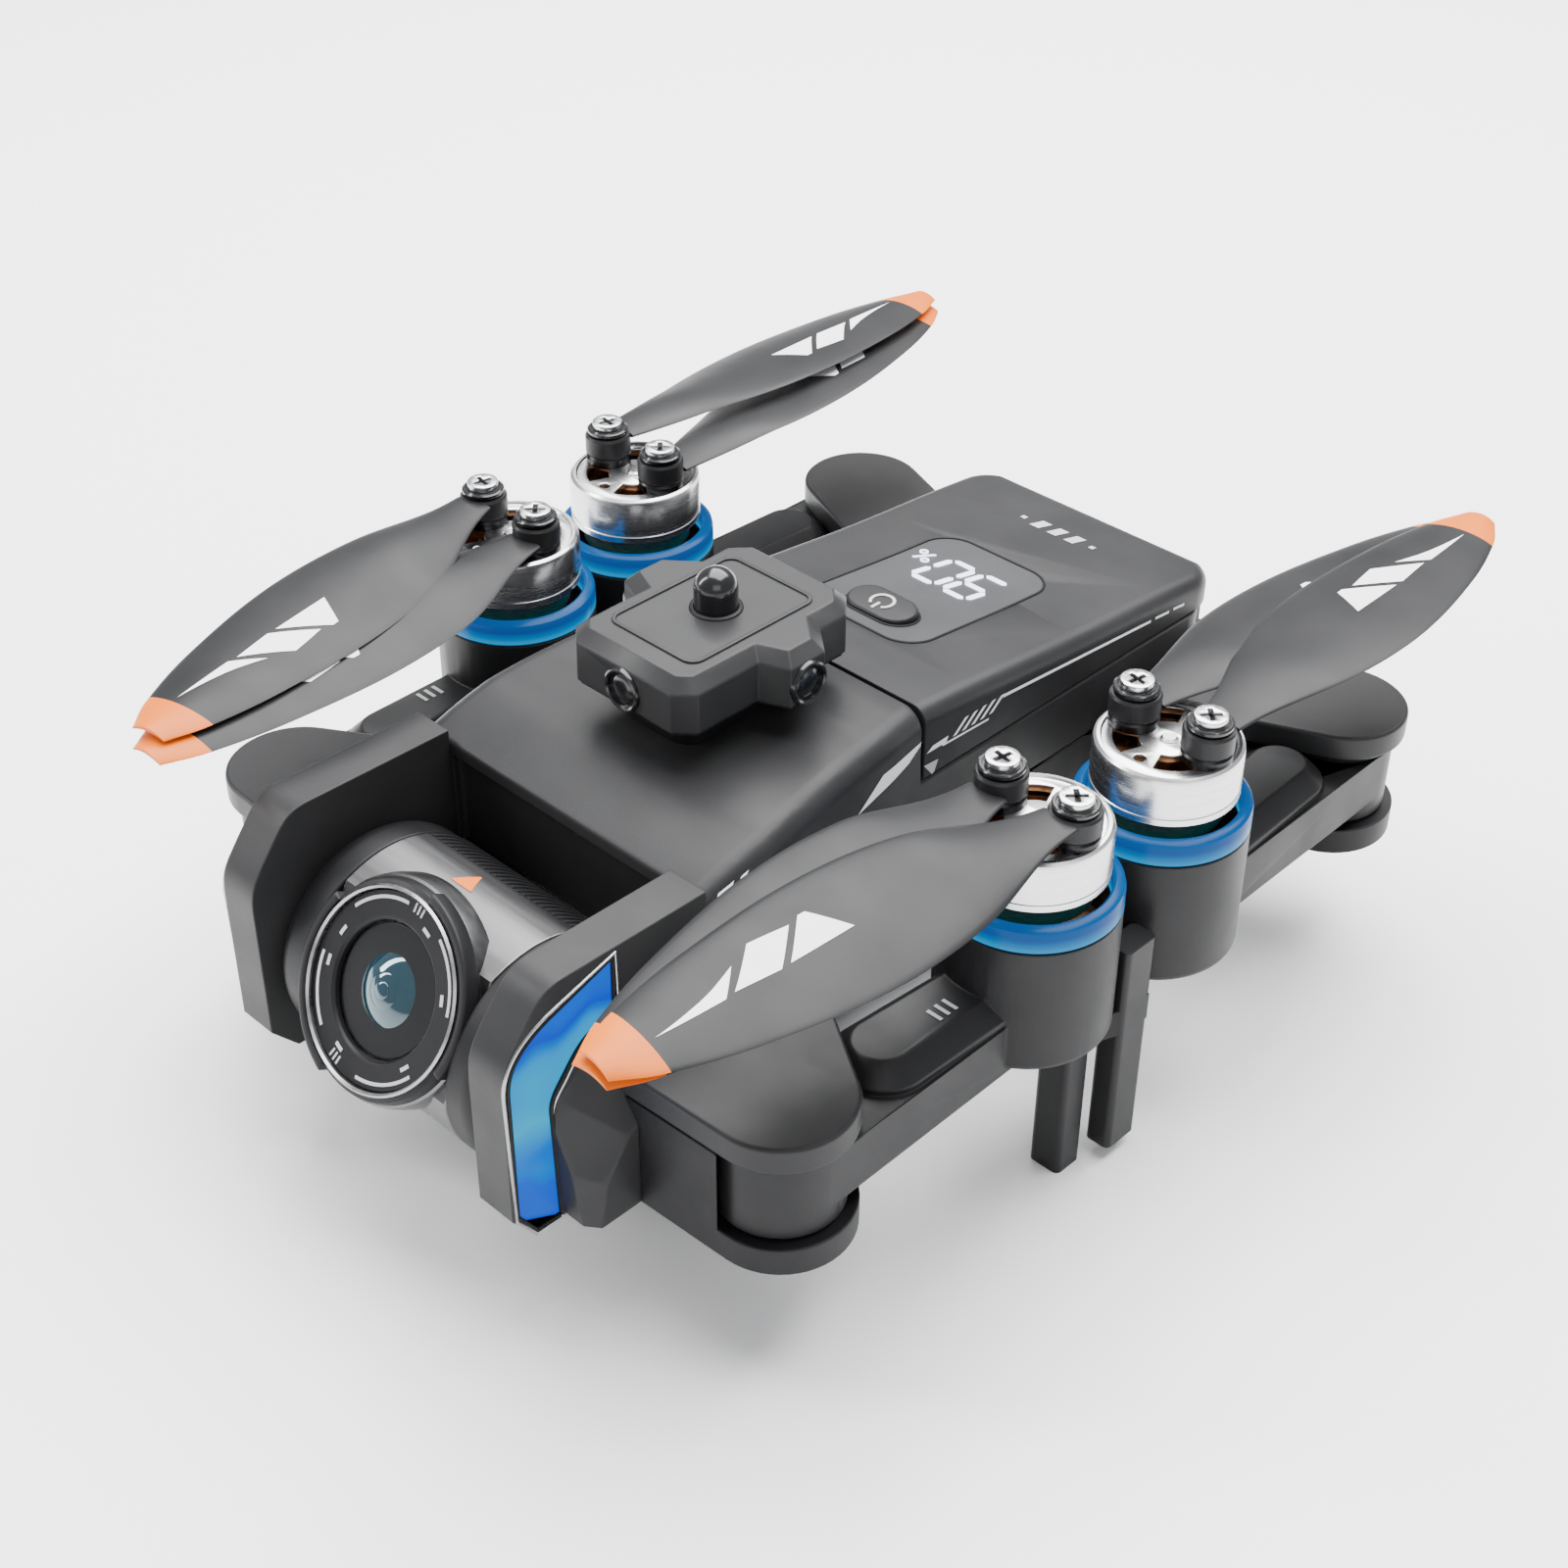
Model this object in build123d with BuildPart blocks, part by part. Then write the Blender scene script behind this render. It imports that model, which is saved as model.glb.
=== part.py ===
"""Folding camera quadcopter, modelled folded up on its legs. Millimetres.

The origin is on the ground, on the symmetry plane, midway between the front and
the rear motors. +Z is up and the nose points along -Y, so +X is the aircraft's left.
"""
from build123d import *
import os
from math import atan2, cos, degrees, radians, sin

os.makedirs("parts", exist_ok=True)

# ---------------------------------------------------------------- clearances
fit_gap = 0.05          # radial gap of a running fit
panel_gap = 0.15        # gap round a set-in panel or a button
swing_gap = 0.4         # gap beside anything that swings or slides

# ---------------------------------------------------------------- fuselage
body_half_width = 25.0      # at the nose and shoulders
waist_half_width = 21.0     # beside the battery
nose_y = -73.6
bay_rear_y = -43.6          # front lip of the deck, over the camera bay
shoulder_y = -33.0
battery_front_y = -3.4
tail_y = 57.0
tail_bulge = 1.4           # the battery's rear face stands out at its widest
belly_z = 16.0
chin_z = 14.8                # underside of the nose fairings
seam_z = 31.0               # where the two shells meet
wall = 1.8
floor = 2.0
lip = 1.4                   # deck's overhang above the camera bay
tail_corner = 6.0
shoulder_round = 3.0
cheek_swell = 5.5           # how far the nose's sides swell out behind the lights
belly_round = 3.0
foot_place = (16.0, 43.0)
board_posts = [(14.0, -36.0), (-14.0, -36.0), (14.0, -11.0), (-14.0, -11.0)]
board_z = 33.0
screw_places = [(17, -31), (-17, -31), (15, 2), (-15, 2), (12, 49), (-12, 49)]
screw_bore = 0.9
screw_sink = 1.9
sink_depth = 1.2
light_depth = 2.0           # how far a nose light is set into its fairing

# height of the deck line at five stations, from the front lip to the battery
deck_line = [(bay_rear_y, 46.6), (-34.0, 49.3), (-24.0, 50.6), (-13.0, 51.0), (battery_front_y, 50.7)]
battery_line = [(battery_front_y, 50.7), (12.0, 49.3), (27.0, 47.6), (44.0, 46.2), (tail_y, 44.8)]
rail_z = 40.4               # top of the rails that carry the battery
deck_under_z = 44.4         # flat underside of the deck

# ---------------------------------------------------------------- arms, hinges and motors
front_motor = (45.0, -11.6)
rear_motor = (46.0, 11.6)
front_hinge = (43.2, -50.4)
rear_hinge = (43.2, 55.6)
front_open_angle = 120.0
rear_open_angle = 112.0
lobe_radius = 8.8
lobe_top_z = 34.7
lobe_floor_z = 19.8         # top of the lower ear
knuckle_radius = 7.5
knuckle_bottom_z = 20.2
knuckle_top_z = 30.6
beam_bottom_z = 22.0
beam_top_z = 30.0
beam_end_radius = 5.2
ridge_height = 3.2
ridge_bevel = 2.4           # slope along both edges of the beam's ridge
pin_radius = 1.5
pin_seat = 2.5              # depth of a pin's seat in each ear
pod_radius = 10.8
pod_bottom_z = 23.2
pod_rim_z = 40.8
pod_wall = 1.6
pod_floor_z = 34.0
ring_height = 3.4
bell_radius = 9.0
bell_wall = 0.8
bell_bottom_z = 45.3
bell_top_z = 52.0
bell_plate = 1.4
shaft_radius = 1.0
stator_radius = 7.4

# ---------------------------------------------------------------- propellers
post_offset = 5.3           # blade pivot from the motor's axis
post_radius = 3.1
collar_height = 1.0
pivot_radius = 1.8
boss_height = 3.0
blade_length = 65.0         # pivot to tip
blade_thickness = 1.0
inner_blade_rise = 0.3      # blade's underside above its boss's underside
outer_blade_rise = 1.8
screw_head_radius = 2.1
screw_head_height = 1.2
# half chords along the blade, from its pivot to its tip
leading_edge = [(0.0, 2.4), (7.0, 3.4), (20.0, 7.2), (34.0, 8.6), (50.0, 7.0), (60.5, 4.4),
                (blade_length, 2.2)]
trailing_edge = [(0.0, 2.4), (7.0, 3.8), (20.0, 8.0), (34.0, 9.0), (50.0, 7.2), (60.0, 4.8),
                 (blade_length, 2.6)]
# degrees that each folded blade leans inward, outer blade first
folded_lean = {"front_left": (6.0, -3.0), "front_right": (14.0, 6.0),
               "rear_left": (3.5, -4.5), "rear_right": (0.5, -8.0)}

# ---------------------------------------------------------------- camera
camera_axis = (-58.3, 28.0)     # y and z of the tilt axis
camera_tilt = 31.0              # lens above the horizon
barrel_radius = 14.2
barrel_half_length = 13.0
cheek_half_length = 18.6
cheek_gap = 0.7                 # cheek to fairing
lens_face = 14.6                # bezel's front face from the tilt axis
lens_seat = 12.0
bezel_radius = 12.8
lens_radius = 8.0
trunnion_radius = 3.0
trunnion_length = 2.6
fairing_inner_x = cheek_half_length + cheek_gap

# ---------------------------------------------------------------- sensor module
module_bottom_z = 55.0
module_lip_z = 60.4
module_top_z = 62.4
module_half_width = 10.4
module_ear_x = 14.2
module_front_y = -32.6
module_rear_y = -2.9
module_y = -17.4
module_plate = 0.55
module_bevel = 1.6
module_wall = 1.6
eye_radius = 2.3
eye_depth = 1.6
eye_z = 57.9
dome_radius = 2.7
dome_height = 5.4

# ---------------------------------------------------------------- battery and its display
panel_half_width = 9.7
panel_front_y = 6.6
panel_length = 29.6
panel_corner = 4.5
panel_thickness = 0.9
battery_round = 2.2
button_y = 12.2
button_length = 10.5
button_width = 6.0
button_top_z = 50.3
button_body = 2.5
button_flange = 0.5
button_travel = 0.6
cell_half_width = 16.0
cell_length = 46.0
cell_height = 18.0
cell_floor = 1.4
socket_z = 34.0
socket_width = 9.0
socket_height = 3.3

# ---------------------------------------------------------------- landing legs, under the front pods
prong_place = (49.4, -8.2)
prong_size = (4.6, 4.4)
strut_place = (52.7, -1.6)
strut_size = (3.6, 5.4)
strut_foot_z = 2.0
strut_top_z = 33.0
leg_plate_z = 20.4
leg_web = [(47.1, -10.4), (51.7, -10.4), (54.5, -3.0), (54.5, 0.85), (50.9, 0.85), (47.1, -4.0)]


def save(piece, node):
    """Label a finished piece and write it under its own name."""
    piece.part.label = node
    export_step(piece.part, f"parts/{node}.step")


def around(centre, radius, angle):
    """Point at an angle in degrees on a circle seen from above."""
    return centre[0] + radius * cos(radians(angle)), centre[1] + radius * sin(radians(angle))


def on_side(point, side):
    """The same plan point on the left (+1) or the right (-1)."""
    return side * point[0], point[1]


# ================================================================ shells
front_lobe = {"hinge": front_hinge, "root_x": body_half_width - 1.0, "root_front": -59.5, "root_rear": -28.5}
rear_lobe = {"hinge": rear_hinge, "root_x": waist_half_width - 0.5, "root_front": 37.0, "root_rear": 55.6}


def half_outline():
    """Left half of the body's plan, from the camera bay to the tail."""
    return [(0, bay_rear_y), (body_half_width, bay_rear_y), (body_half_width, shoulder_y),
            (waist_half_width + 1.2, -10.0), (waist_half_width, battery_front_y), (waist_half_width, tail_y),
            (0, tail_y)]


def body_plan(inset=0.0):
    """Body seen from above, drawn in by a wall's thickness."""
    with BuildSketch() as plan:
        with BuildLine():
            Polyline(*half_outline())
            mirror(about=Plane.YZ)
        make_face()
        fillet(plan.vertices().group_by(Axis.Y)[-1], tail_corner)
        if inset:
            offset(amount=-inset)
    return plan.sketch


def lobe_plan(hinge, root_x, root_front, root_rear, side, reach=lobe_radius):
    """Bracket seen from above: round at the hinge and wider at the body."""
    with BuildSketch() as plan:
        with Locations(on_side(hinge, side)):
            Circle(reach)
        for root_y in (root_front, root_rear):
            with Locations(on_side((root_x, root_y), side)):
                Circle(0.5)
        make_hull()
    return plan.sketch


def swing_plan(hinge, folded, opened, side):
    """Everything that a swinging arm's beam passes over, seen from above."""
    reach = knuckle_radius + swing_gap
    turn = 1 if opened > folded else -1
    inner = around(hinge, reach, folded - 90 * turn)
    outer = around(hinge, reach, opened + 90 * turn)
    corners = [inner, around(inner, 80, folded), around(hinge, 160, (folded + opened) / 2),
               around(outer, 80, opened), outer]
    with BuildSketch() as plan:
        with BuildLine():
            Polyline(*[on_side(p, side) for p in corners], close=True)
        make_face()
        with Locations(on_side(hinge, side)):
            Circle(reach)
    return plan.sketch


def heading(start, end):
    """Compass angle in degrees from one plan point to another."""
    return degrees(atan2(end[1] - start[1], end[0] - start[0]))


front_folded = heading(front_hinge, front_motor)
rear_folded = heading(rear_hinge, rear_motor)
front_opened = front_folded - front_open_angle
rear_opened = rear_folded + rear_open_angle

# profile of a nose fairing seen from the left: top edge, sloping brow, upright front, chin
brow = [(-64.6, 48.4), (-69.6, 45.2), (nose_y + 0.7, 40.6), (nose_y, 36.0)]


def fairing_profile():
    """Closed side view of a nose fairing."""
    with BuildSketch() as view:
        with BuildLine():
            top = Line((bay_rear_y, deck_line[0][1] + 1.6), brow[0])
            forehead = Spline(*brow, tangents=[(-1, 0), (0, -1)])
            Polyline(forehead @ 1, (nose_y, chin_z + 4), (nose_y + 3.5, chin_z), (bay_rear_y, chin_z),
                     top @ 0)
        make_face()
    return view.sketch


cheek_base = [(-69.6, belly_z), (-69.2, 24.0), (-66.0, 32.0), (-60.0, 37.0),
              (bay_rear_y, 39.0), (bay_rear_y, belly_z)]
cheek_crest = [(-65.5, belly_z), (-64.5, 22.0), (-61.0, 27.0), (-56.0, 30.0),
               (bay_rear_y, 31.0), (bay_rear_y, belly_z)]


def nose_cheek(side):
    """Swelling of the nose's side behind its light, which runs into the front bracket."""
    with BuildPart() as piece:
        for x, outline in ((body_half_width, cheek_base), (body_half_width + cheek_swell, cheek_crest)):
            with BuildSketch(Plane.YZ.offset(side * x)):
                with BuildLine():
                    Polyline(*outline, close=True)
                make_face()
        loft(ruled=True)
    return piece.part


def light_band():
    """Boomerang outline of a nose light, seen from the left."""
    with BuildSketch() as view:
        with BuildLine():
            brow_edge = Line((-57.6, 47.2), (-67.0, 44.2))
            front = Spline(brow_edge @ 1, (-71.2, 41.6), (-72.9, 37.0), tangents=[(-0.9, -0.35), (0, -1)])
            shin = Polyline(front @ 1, (-72.9, chin_z + 4.4), (-70.4, chin_z + 0.7), (-66.8, chin_z + 0.7),
                            (-67.2, 31.0))
            back = Spline(shin @ 1, (-65.4, 34.8), (-61.8, 38.4), tangents=[(0, 1), (0.85, 0.5)])
            Polyline(back @ 1, (-57.6, 40.4), brow_edge @ 0)
        make_face()
    return view.sketch


with BuildPart() as upper_shell:
    with BuildSketch(Plane.XY.offset(seam_z)):
        add(body_plan())
    extrude(amount=25)
    with BuildSketch(Plane.YZ):
        with BuildLine():
            deck_top = Spline(*deck_line)
            Polyline(deck_top @ 1, (battery_front_y, rail_z), (tail_y + 1, rail_z), (tail_y + 1, seam_z),
                     (bay_rear_y, seam_z), deck_top @ 0)
        make_face()
    extrude(amount=40, both=True, mode=Mode.INTERSECT)
    shoulder_edges = upper_shell.edges().filter_by(
        lambda e: e.center().Z > 46 and abs(e.center().X) > 18 and e.center().Y < battery_front_y - 0.5
        and e.bounding_box().size.Y > 2
    )
    fillet(shoulder_edges, shoulder_round)
    # room for the electronics under the deck
    with BuildSketch(Plane.XY.offset(seam_z)):
        add(body_plan(wall))
        with Locations((0, battery_front_y - wall), (0, bay_rear_y + lip + wall - 100)):
            Rectangle(120, 100, align=(Align.CENTER, Align.MIN), mode=Mode.SUBTRACT)
    extrude(amount=deck_under_z - seam_z, mode=Mode.SUBTRACT)
    for side in (1, -1):
        for lobe in (front_lobe, rear_lobe):
            with BuildSketch(Plane.XY.offset(seam_z)):
                add(lobe_plan(**lobe, side=side))
            extrude(amount=lobe_top_z - seam_z)
    with BuildSketch(Plane.XY.offset(seam_z)):
        with Locations((0, bay_rear_y)):
            Rectangle(2 * fairing_inner_x, lip, align=(Align.CENTER, Align.MIN))
    extrude(amount=deck_under_z - seam_z, mode=Mode.SUBTRACT)
    # the battery's bay, the camera's bay and the fairings' places stay open
    with BuildSketch(Plane.XY.offset(seam_z)):
        with Locations((0, battery_front_y)):
            Rectangle(2 * (waist_half_width - wall), 100, align=(Align.CENTER, Align.MIN))
        with Locations((0, bay_rear_y)):
            Rectangle(2 * body_half_width, 100, align=(Align.CENTER, Align.MAX))
    extrude(amount=25, mode=Mode.SUBTRACT)
    for side in (1, -1):
        add(nose_cheek(side), mode=Mode.SUBTRACT)
    with BuildSketch(Plane.XY.offset(seam_z)):
        for side in (1, -1):
            with Locations(on_side(front_hinge, side), on_side(rear_hinge, side)):
                Circle(pin_radius)
    extrude(amount=pin_seat, mode=Mode.SUBTRACT)
save(upper_shell, "upper_shell")

with BuildPart() as lower_shell:
    with BuildSketch(Plane.XY.offset(belly_z)):
        add(body_plan())
    extrude(amount=seam_z - belly_z)
    belly_edges = lower_shell.faces().sort_by(Axis.Z)[0].edges().filter_by(
        lambda e: abs(e.center().X) > 15 and e.bounding_box().size.Y > 2)
    fillet(belly_edges, belly_round)
    # brackets: a flat lower ear, and above it the wall that stops short of the arm's sweep
    for side in (1, -1):
        for lobe, folded, opened in ((front_lobe, front_folded, front_opened),
                                     (rear_lobe, rear_folded, rear_opened)):
            with BuildSketch(Plane.XY.offset(belly_z)):
                add(lobe_plan(**lobe, side=side))
            extrude(amount=lobe_floor_z - belly_z)
            with BuildSketch(Plane.XY.offset(lobe_floor_z)):
                add(lobe_plan(**lobe, side=side))
                add(swing_plan(lobe["hinge"], folded, opened, side), mode=Mode.SUBTRACT)
            extrude(amount=seam_z - lobe_floor_z)
    # the front compartment, then the battery's bay, which is open at the tail
    with BuildSketch(Plane.XY.offset(belly_z + floor)):
        add(body_plan(wall))
        with Locations((0, bay_rear_y + lip + wall)):
            Rectangle(120, 100, align=(Align.CENTER, Align.MAX), mode=Mode.SUBTRACT)
    extrude(amount=seam_z, mode=Mode.SUBTRACT)
    with BuildSketch(Plane.XY.offset(belly_z + floor)):
        with Locations((0, battery_front_y)):
            Rectangle(2 * (waist_half_width - wall), 100, align=(Align.CENTER, Align.MIN))
    extrude(amount=seam_z, mode=Mode.SUBTRACT)
    # nothing of this shell lies in the camera's bay or where the fairings stand
    with BuildSketch(Plane.XY.offset(belly_z)):
        with Locations((0, bay_rear_y)):
            Rectangle(2 * body_half_width, 100, align=(Align.CENTER, Align.MAX))
        with Locations((0, bay_rear_y + lip)):
            Rectangle(2 * fairing_inner_x, 100, align=(Align.CENTER, Align.MAX))
    extrude(amount=seam_z, mode=Mode.SUBTRACT)
    for side in (1, -1):
        add(nose_cheek(side), mode=Mode.SUBTRACT)
    with BuildSketch(Plane.XY.offset(belly_z + floor / 2)):
        with Locations(*board_posts):
            Circle(2.0)
    extrude(amount=board_z - belly_z - floor / 2)
    with BuildSketch(Plane.XY.offset(lobe_floor_z)):
        for side in (1, -1):
            with Locations(on_side(front_hinge, side), on_side(rear_hinge, side)):
                Circle(pin_radius)
    extrude(amount=-pin_seat, mode=Mode.SUBTRACT)
    # hind feet carry the tail; the folded arms' legs carry the nose
    for side in (1, -1):
        with BuildSketch(Plane.XY.offset(belly_z + floor / 2)):
            with Locations(on_side(foot_place, side)):
                RectangleRounded(7.0, 9.0, 2.5)
        extrude(amount=-(belly_z + floor / 2), taper=3)
    with BuildSketch(Plane.XY.offset(belly_z)):
        with Locations(*screw_places):
            Circle(screw_bore)
    extrude(amount=floor, mode=Mode.SUBTRACT)
    with BuildSketch(Plane.XY.offset(belly_z)):
        with Locations(*screw_places):
            Circle(screw_sink)
    extrude(amount=sink_depth, mode=Mode.SUBTRACT)
save(lower_shell, "lower_shell")

with BuildPart() as case_screws:
    with BuildSketch(Plane.XY.offset(belly_z + sink_depth)):
        with Locations(*screw_places):
            Circle(screw_sink - panel_gap)
    extrude(amount=0.2 - sink_depth)
    with BuildSketch(Plane.XY.offset(belly_z + sink_depth)):
        with Locations(*screw_places):
            Circle(screw_bore)
    extrude(amount=floor - sink_depth)
save(case_screws, "case_screws")

with BuildPart() as hinge_pins:
    pin_bottom = lobe_floor_z - pin_seat
    with BuildSketch(Plane.XY.offset(pin_bottom)):
        for side in (1, -1):
            with Locations(on_side(front_hinge, side), on_side(rear_hinge, side)):
                Circle(pin_radius)
    extrude(amount=seam_z + pin_seat - pin_bottom)
save(hinge_pins, "hinge_pins")

with BuildPart() as main_board:
    with BuildSketch(Plane.XY.offset(board_z)):
        with Locations((0, (bay_rear_y + battery_front_y) / 2)):
            RectangleRounded(34, 30, 2)
    extrude(amount=1.2)
    with BuildSketch(Plane.XY.offset(board_z + 1.2)):
        with Locations((-7, -28), (8, -22), (0, -15)):
            Rectangle(9, 6)
    extrude(amount=1.4)
save(main_board, "main_board")

with BuildPart() as flow_sensor:
    with BuildSketch(Plane.XY.offset(belly_z)):
        with Locations((0, -22)):
            RectangleRounded(18, 10, 3)
    extrude(amount=-1.4)
    with BuildSketch(Plane.XY.offset(belly_z - 1.4)):
        with Locations((-4.5, -22), (4.5, -22)):
            Circle(2.6)
    extrude(amount=-0.8)
save(flow_sensor, "flow_sensor")

# ================================================================ nose
for side, name in ((1, "left"), (-1, "right")):
    near = side * fairing_inner_x
    depth = side * (body_half_width - fairing_inner_x)
    pocket = Plane.YZ.offset(side * (body_half_width - light_depth))
    with BuildPart() as nose_fairing:
        with BuildSketch(Plane.YZ.offset(near)):
            add(fairing_profile())
        extrude(amount=depth)
        add(nose_cheek(side))
        with BuildSketch(pocket):
            add(light_band())
        extrude(amount=side * (light_depth + 8), mode=Mode.SUBTRACT)
        with BuildSketch(Plane.YZ.offset(near)):
            with Locations(camera_axis):
                Circle(trunnion_radius + fit_gap)
        extrude(amount=side * (trunnion_length + 0.4), mode=Mode.SUBTRACT)
    save(nose_fairing, f"nose_fairing_{name}")

    with BuildPart() as nose_light:
        with BuildSketch(pocket):
            add(light_band())
        extrude(amount=side * (light_depth - 0.2))
    save(nose_light, f"nose_light_{name}")

# ================================================================ camera
lens_plane = Plane(origin=(0, *camera_axis), x_dir=(1, 0, 0),
                   z_dir=(0, -cos(radians(camera_tilt)), sin(radians(camera_tilt))))

with BuildPart() as camera_housing:
    with BuildSketch(Plane.YZ.offset(-barrel_half_length)):
        with Locations(camera_axis):
            Circle(barrel_radius)
    extrude(amount=2 * barrel_half_length)
    with BuildSketch(lens_plane.offset(lens_seat)):
        Rectangle(60, 60)
    extrude(amount=20, mode=Mode.SUBTRACT)
    with BuildSketch(Plane.YZ.offset(-barrel_half_length + wall)):
        with Locations(camera_axis):
            Circle(barrel_radius - 3.4)
    extrude(amount=2 * (barrel_half_length - wall), mode=Mode.SUBTRACT)
    with BuildSketch(lens_plane):
        Circle(lens_radius)
    extrude(amount=lens_seat, mode=Mode.SUBTRACT)
save(camera_housing, "camera_housing")

with BuildPart() as camera_cheeks:
    for side in (1, -1):
        with BuildSketch(Plane.YZ.offset(side * barrel_half_length)):
            with Locations(camera_axis):
                Circle(barrel_radius)
        extrude(amount=side * (cheek_half_length - barrel_half_length))
    rims = camera_cheeks.edges().filter_by(
        lambda e: abs(abs(e.center().X) - cheek_half_length) < 0.01)
    fillet(rims, 3.0)
    for side in (1, -1):
        with BuildSketch(Plane.YZ.offset(side * cheek_half_length)):
            with Locations(camera_axis):
                Circle(trunnion_radius)
        extrude(amount=side * (cheek_gap + trunnion_length - 0.4))
save(camera_cheeks, "camera_cheeks")

with BuildPart() as camera_bezel:
    with BuildSketch(lens_plane.offset(lens_seat)):
        Circle(bezel_radius)
        Circle(lens_radius, mode=Mode.SUBTRACT)
    extrude(amount=lens_face - lens_seat)
    fillet(camera_bezel.edges().sort_by(Axis(lens_plane.origin, lens_plane.z_dir))[-1:], 0.6)
save(camera_bezel, "camera_bezel")

with BuildPart() as camera_lens:
    with BuildSketch(lens_plane.offset(lens_seat - 5)):
        Circle(lens_radius)
    extrude(amount=5 + lens_face - lens_seat - 1.6)
    crown = camera_lens.edges().sort_by(Axis(lens_plane.origin, lens_plane.z_dir))[-1:]
    chamfer(crown, 1.2, 3.0)
save(camera_lens, "camera_lens")

with BuildPart() as image_sensor:
    with BuildSketch(lens_plane.offset(-1.0)):
        RectangleRounded(12, 12, 1)
    extrude(amount=1.2)
    with BuildSketch(lens_plane.offset(0.2)):
        Rectangle(7, 5.4)
    extrude(amount=0.8)
save(image_sensor, "image_sensor")

# ================================================================ sensor module
module_half = [(0, module_front_y), (module_half_width - 2.4, module_front_y), (module_half_width, -30.4),
               (module_half_width, -20.8), (module_ear_x, -19.2), (module_ear_x, -13.6),
               (module_half_width, -10.4), (module_half_width, -6.0), (7.6, module_rear_y), (0, module_rear_y)]


def module_plan(inset=0.0):
    """Sensor module seen from above."""
    with BuildSketch() as plan:
        with BuildLine():
            Polyline(*module_half)
            mirror(about=Plane.YZ)
        make_face()
        if inset:
            offset(amount=-inset, kind=Kind.INTERSECTION)
    return plan.sketch


with BuildPart() as module_base:
    with BuildSketch(Plane.YZ):
        with BuildLine():
            saddle = Spline(*deck_line)
            Polyline(saddle @ 1, (battery_front_y, module_bottom_z), (bay_rear_y, module_bottom_z),
                     saddle @ 0)
        make_face()
    extrude(amount=40, both=True)
    with BuildSketch(Plane.XY.offset(40)):
        with Locations((0, module_y)):
            RectangleRounded(14, 22, 4)
    extrude(amount=30, mode=Mode.INTERSECT)
    with BuildSketch(Plane.XY.offset(module_bottom_z)):
        add(module_plan(0.4))
    extrude(amount=module_plate)
save(module_base, "module_base")

with BuildPart() as module_cover:
    with BuildSketch(Plane.XY.offset(module_bottom_z + module_plate)):
        add(module_plan())
    extrude(amount=module_top_z - module_bottom_z - module_plate)
    chamfer(module_cover.faces().sort_by(Axis.Z)[-1].edges(), module_bevel)
    with BuildSketch(Plane.XY.offset(module_bottom_z + module_plate)):
        add(module_plan(module_wall))
    extrude(amount=module_lip_z - module_bottom_z - module_plate - 0.8, mode=Mode.SUBTRACT)
    with BuildSketch(Plane.XY.offset(module_top_z)):
        with Locations((0, module_y)):
            Circle(dome_radius)
    extrude(amount=-5, mode=Mode.SUBTRACT)
    with BuildSketch(Plane.XZ.offset(-module_front_y)):
        with Locations((0, eye_z)):
            Circle(eye_radius)
    extrude(amount=-4, mode=Mode.SUBTRACT)
    for side in (1, -1):
        with BuildSketch(Plane.YZ.offset(side * module_ear_x)):
            with Locations((module_y + 1, eye_z)):
                Circle(eye_radius)
        extrude(amount=-side * 4, mode=Mode.SUBTRACT)
save(module_cover, "module_cover")

with BuildPart() as module_dome:
    with BuildSketch(Plane.XY.offset(module_top_z - 1.6)):
        with Locations((0, module_y)):
            Circle(dome_radius)
    extrude(amount=1.6 + dome_height - dome_radius)
    with Locations((0, module_y, module_top_z + dome_height - dome_radius)):
        Sphere(dome_radius, arc_size1=0, align=(Align.CENTER, Align.CENTER, Align.MIN))
save(module_dome, "module_dome")

with BuildPart() as module_eyes:
    with BuildSketch(Plane.XZ.offset(-module_front_y)):
        with Locations((0, eye_z)):
            Circle(eye_radius)
    extrude(amount=-eye_depth)
    for side in (1, -1):
        with BuildSketch(Plane.YZ.offset(side * module_ear_x)):
            with Locations((module_y + 1, eye_z)):
                Circle(eye_radius)
        extrude(amount=-side * eye_depth)
save(module_eyes, "module_eyes")

# ================================================================ battery
battery_plan_front = battery_front_y + swing_gap
battery_floor_z = belly_z + floor + swing_gap
button_floor_z = button_top_z - button_body - button_flange


def battery_face(top_drop=0.0, bottom=rail_z + swing_gap / 2):
    """Side view of the battery's upper block."""
    with BuildSketch() as view:
        with BuildLine():
            crown = Spline(*[(y, z - top_drop) for y, z in battery_line])
            Polyline(crown @ 1, (tail_y + tail_bulge, 42.0), (tail_y, bottom),
                     (battery_plan_front - 0.4, bottom), crown @ 0)
        make_face()
    return view.sketch


def battery_outline(half_width, corner):
    """Battery seen from above."""
    with BuildSketch() as plan:
        with Locations((0, battery_plan_front)):
            Rectangle(2 * half_width, tail_y + tail_bulge - battery_plan_front, align=(Align.CENTER, Align.MIN))
        fillet(plan.vertices().group_by(Axis.Y)[-1], corner)
    return plan.sketch


with BuildPart() as panel_space:
    with BuildSketch(Plane.YZ):
        add(battery_face())
    extrude(amount=panel_half_width, both=True)
    with BuildSketch(Plane.XY.offset(30)):
        with Locations((0, panel_front_y)):
            RectangleRounded(2 * panel_half_width, panel_length, panel_corner, align=(Align.CENTER, Align.MIN))
    extrude(amount=30, mode=Mode.INTERSECT)
    with BuildSketch(Plane.YZ):
        with BuildLine():
            under = Spline(*[(y, z - panel_thickness) for y, z in battery_line])
            Polyline(under @ 1, (tail_y, 30), (battery_front_y, 30), under @ 0)
        make_face()
    extrude(amount=40, both=True, mode=Mode.SUBTRACT)

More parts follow.
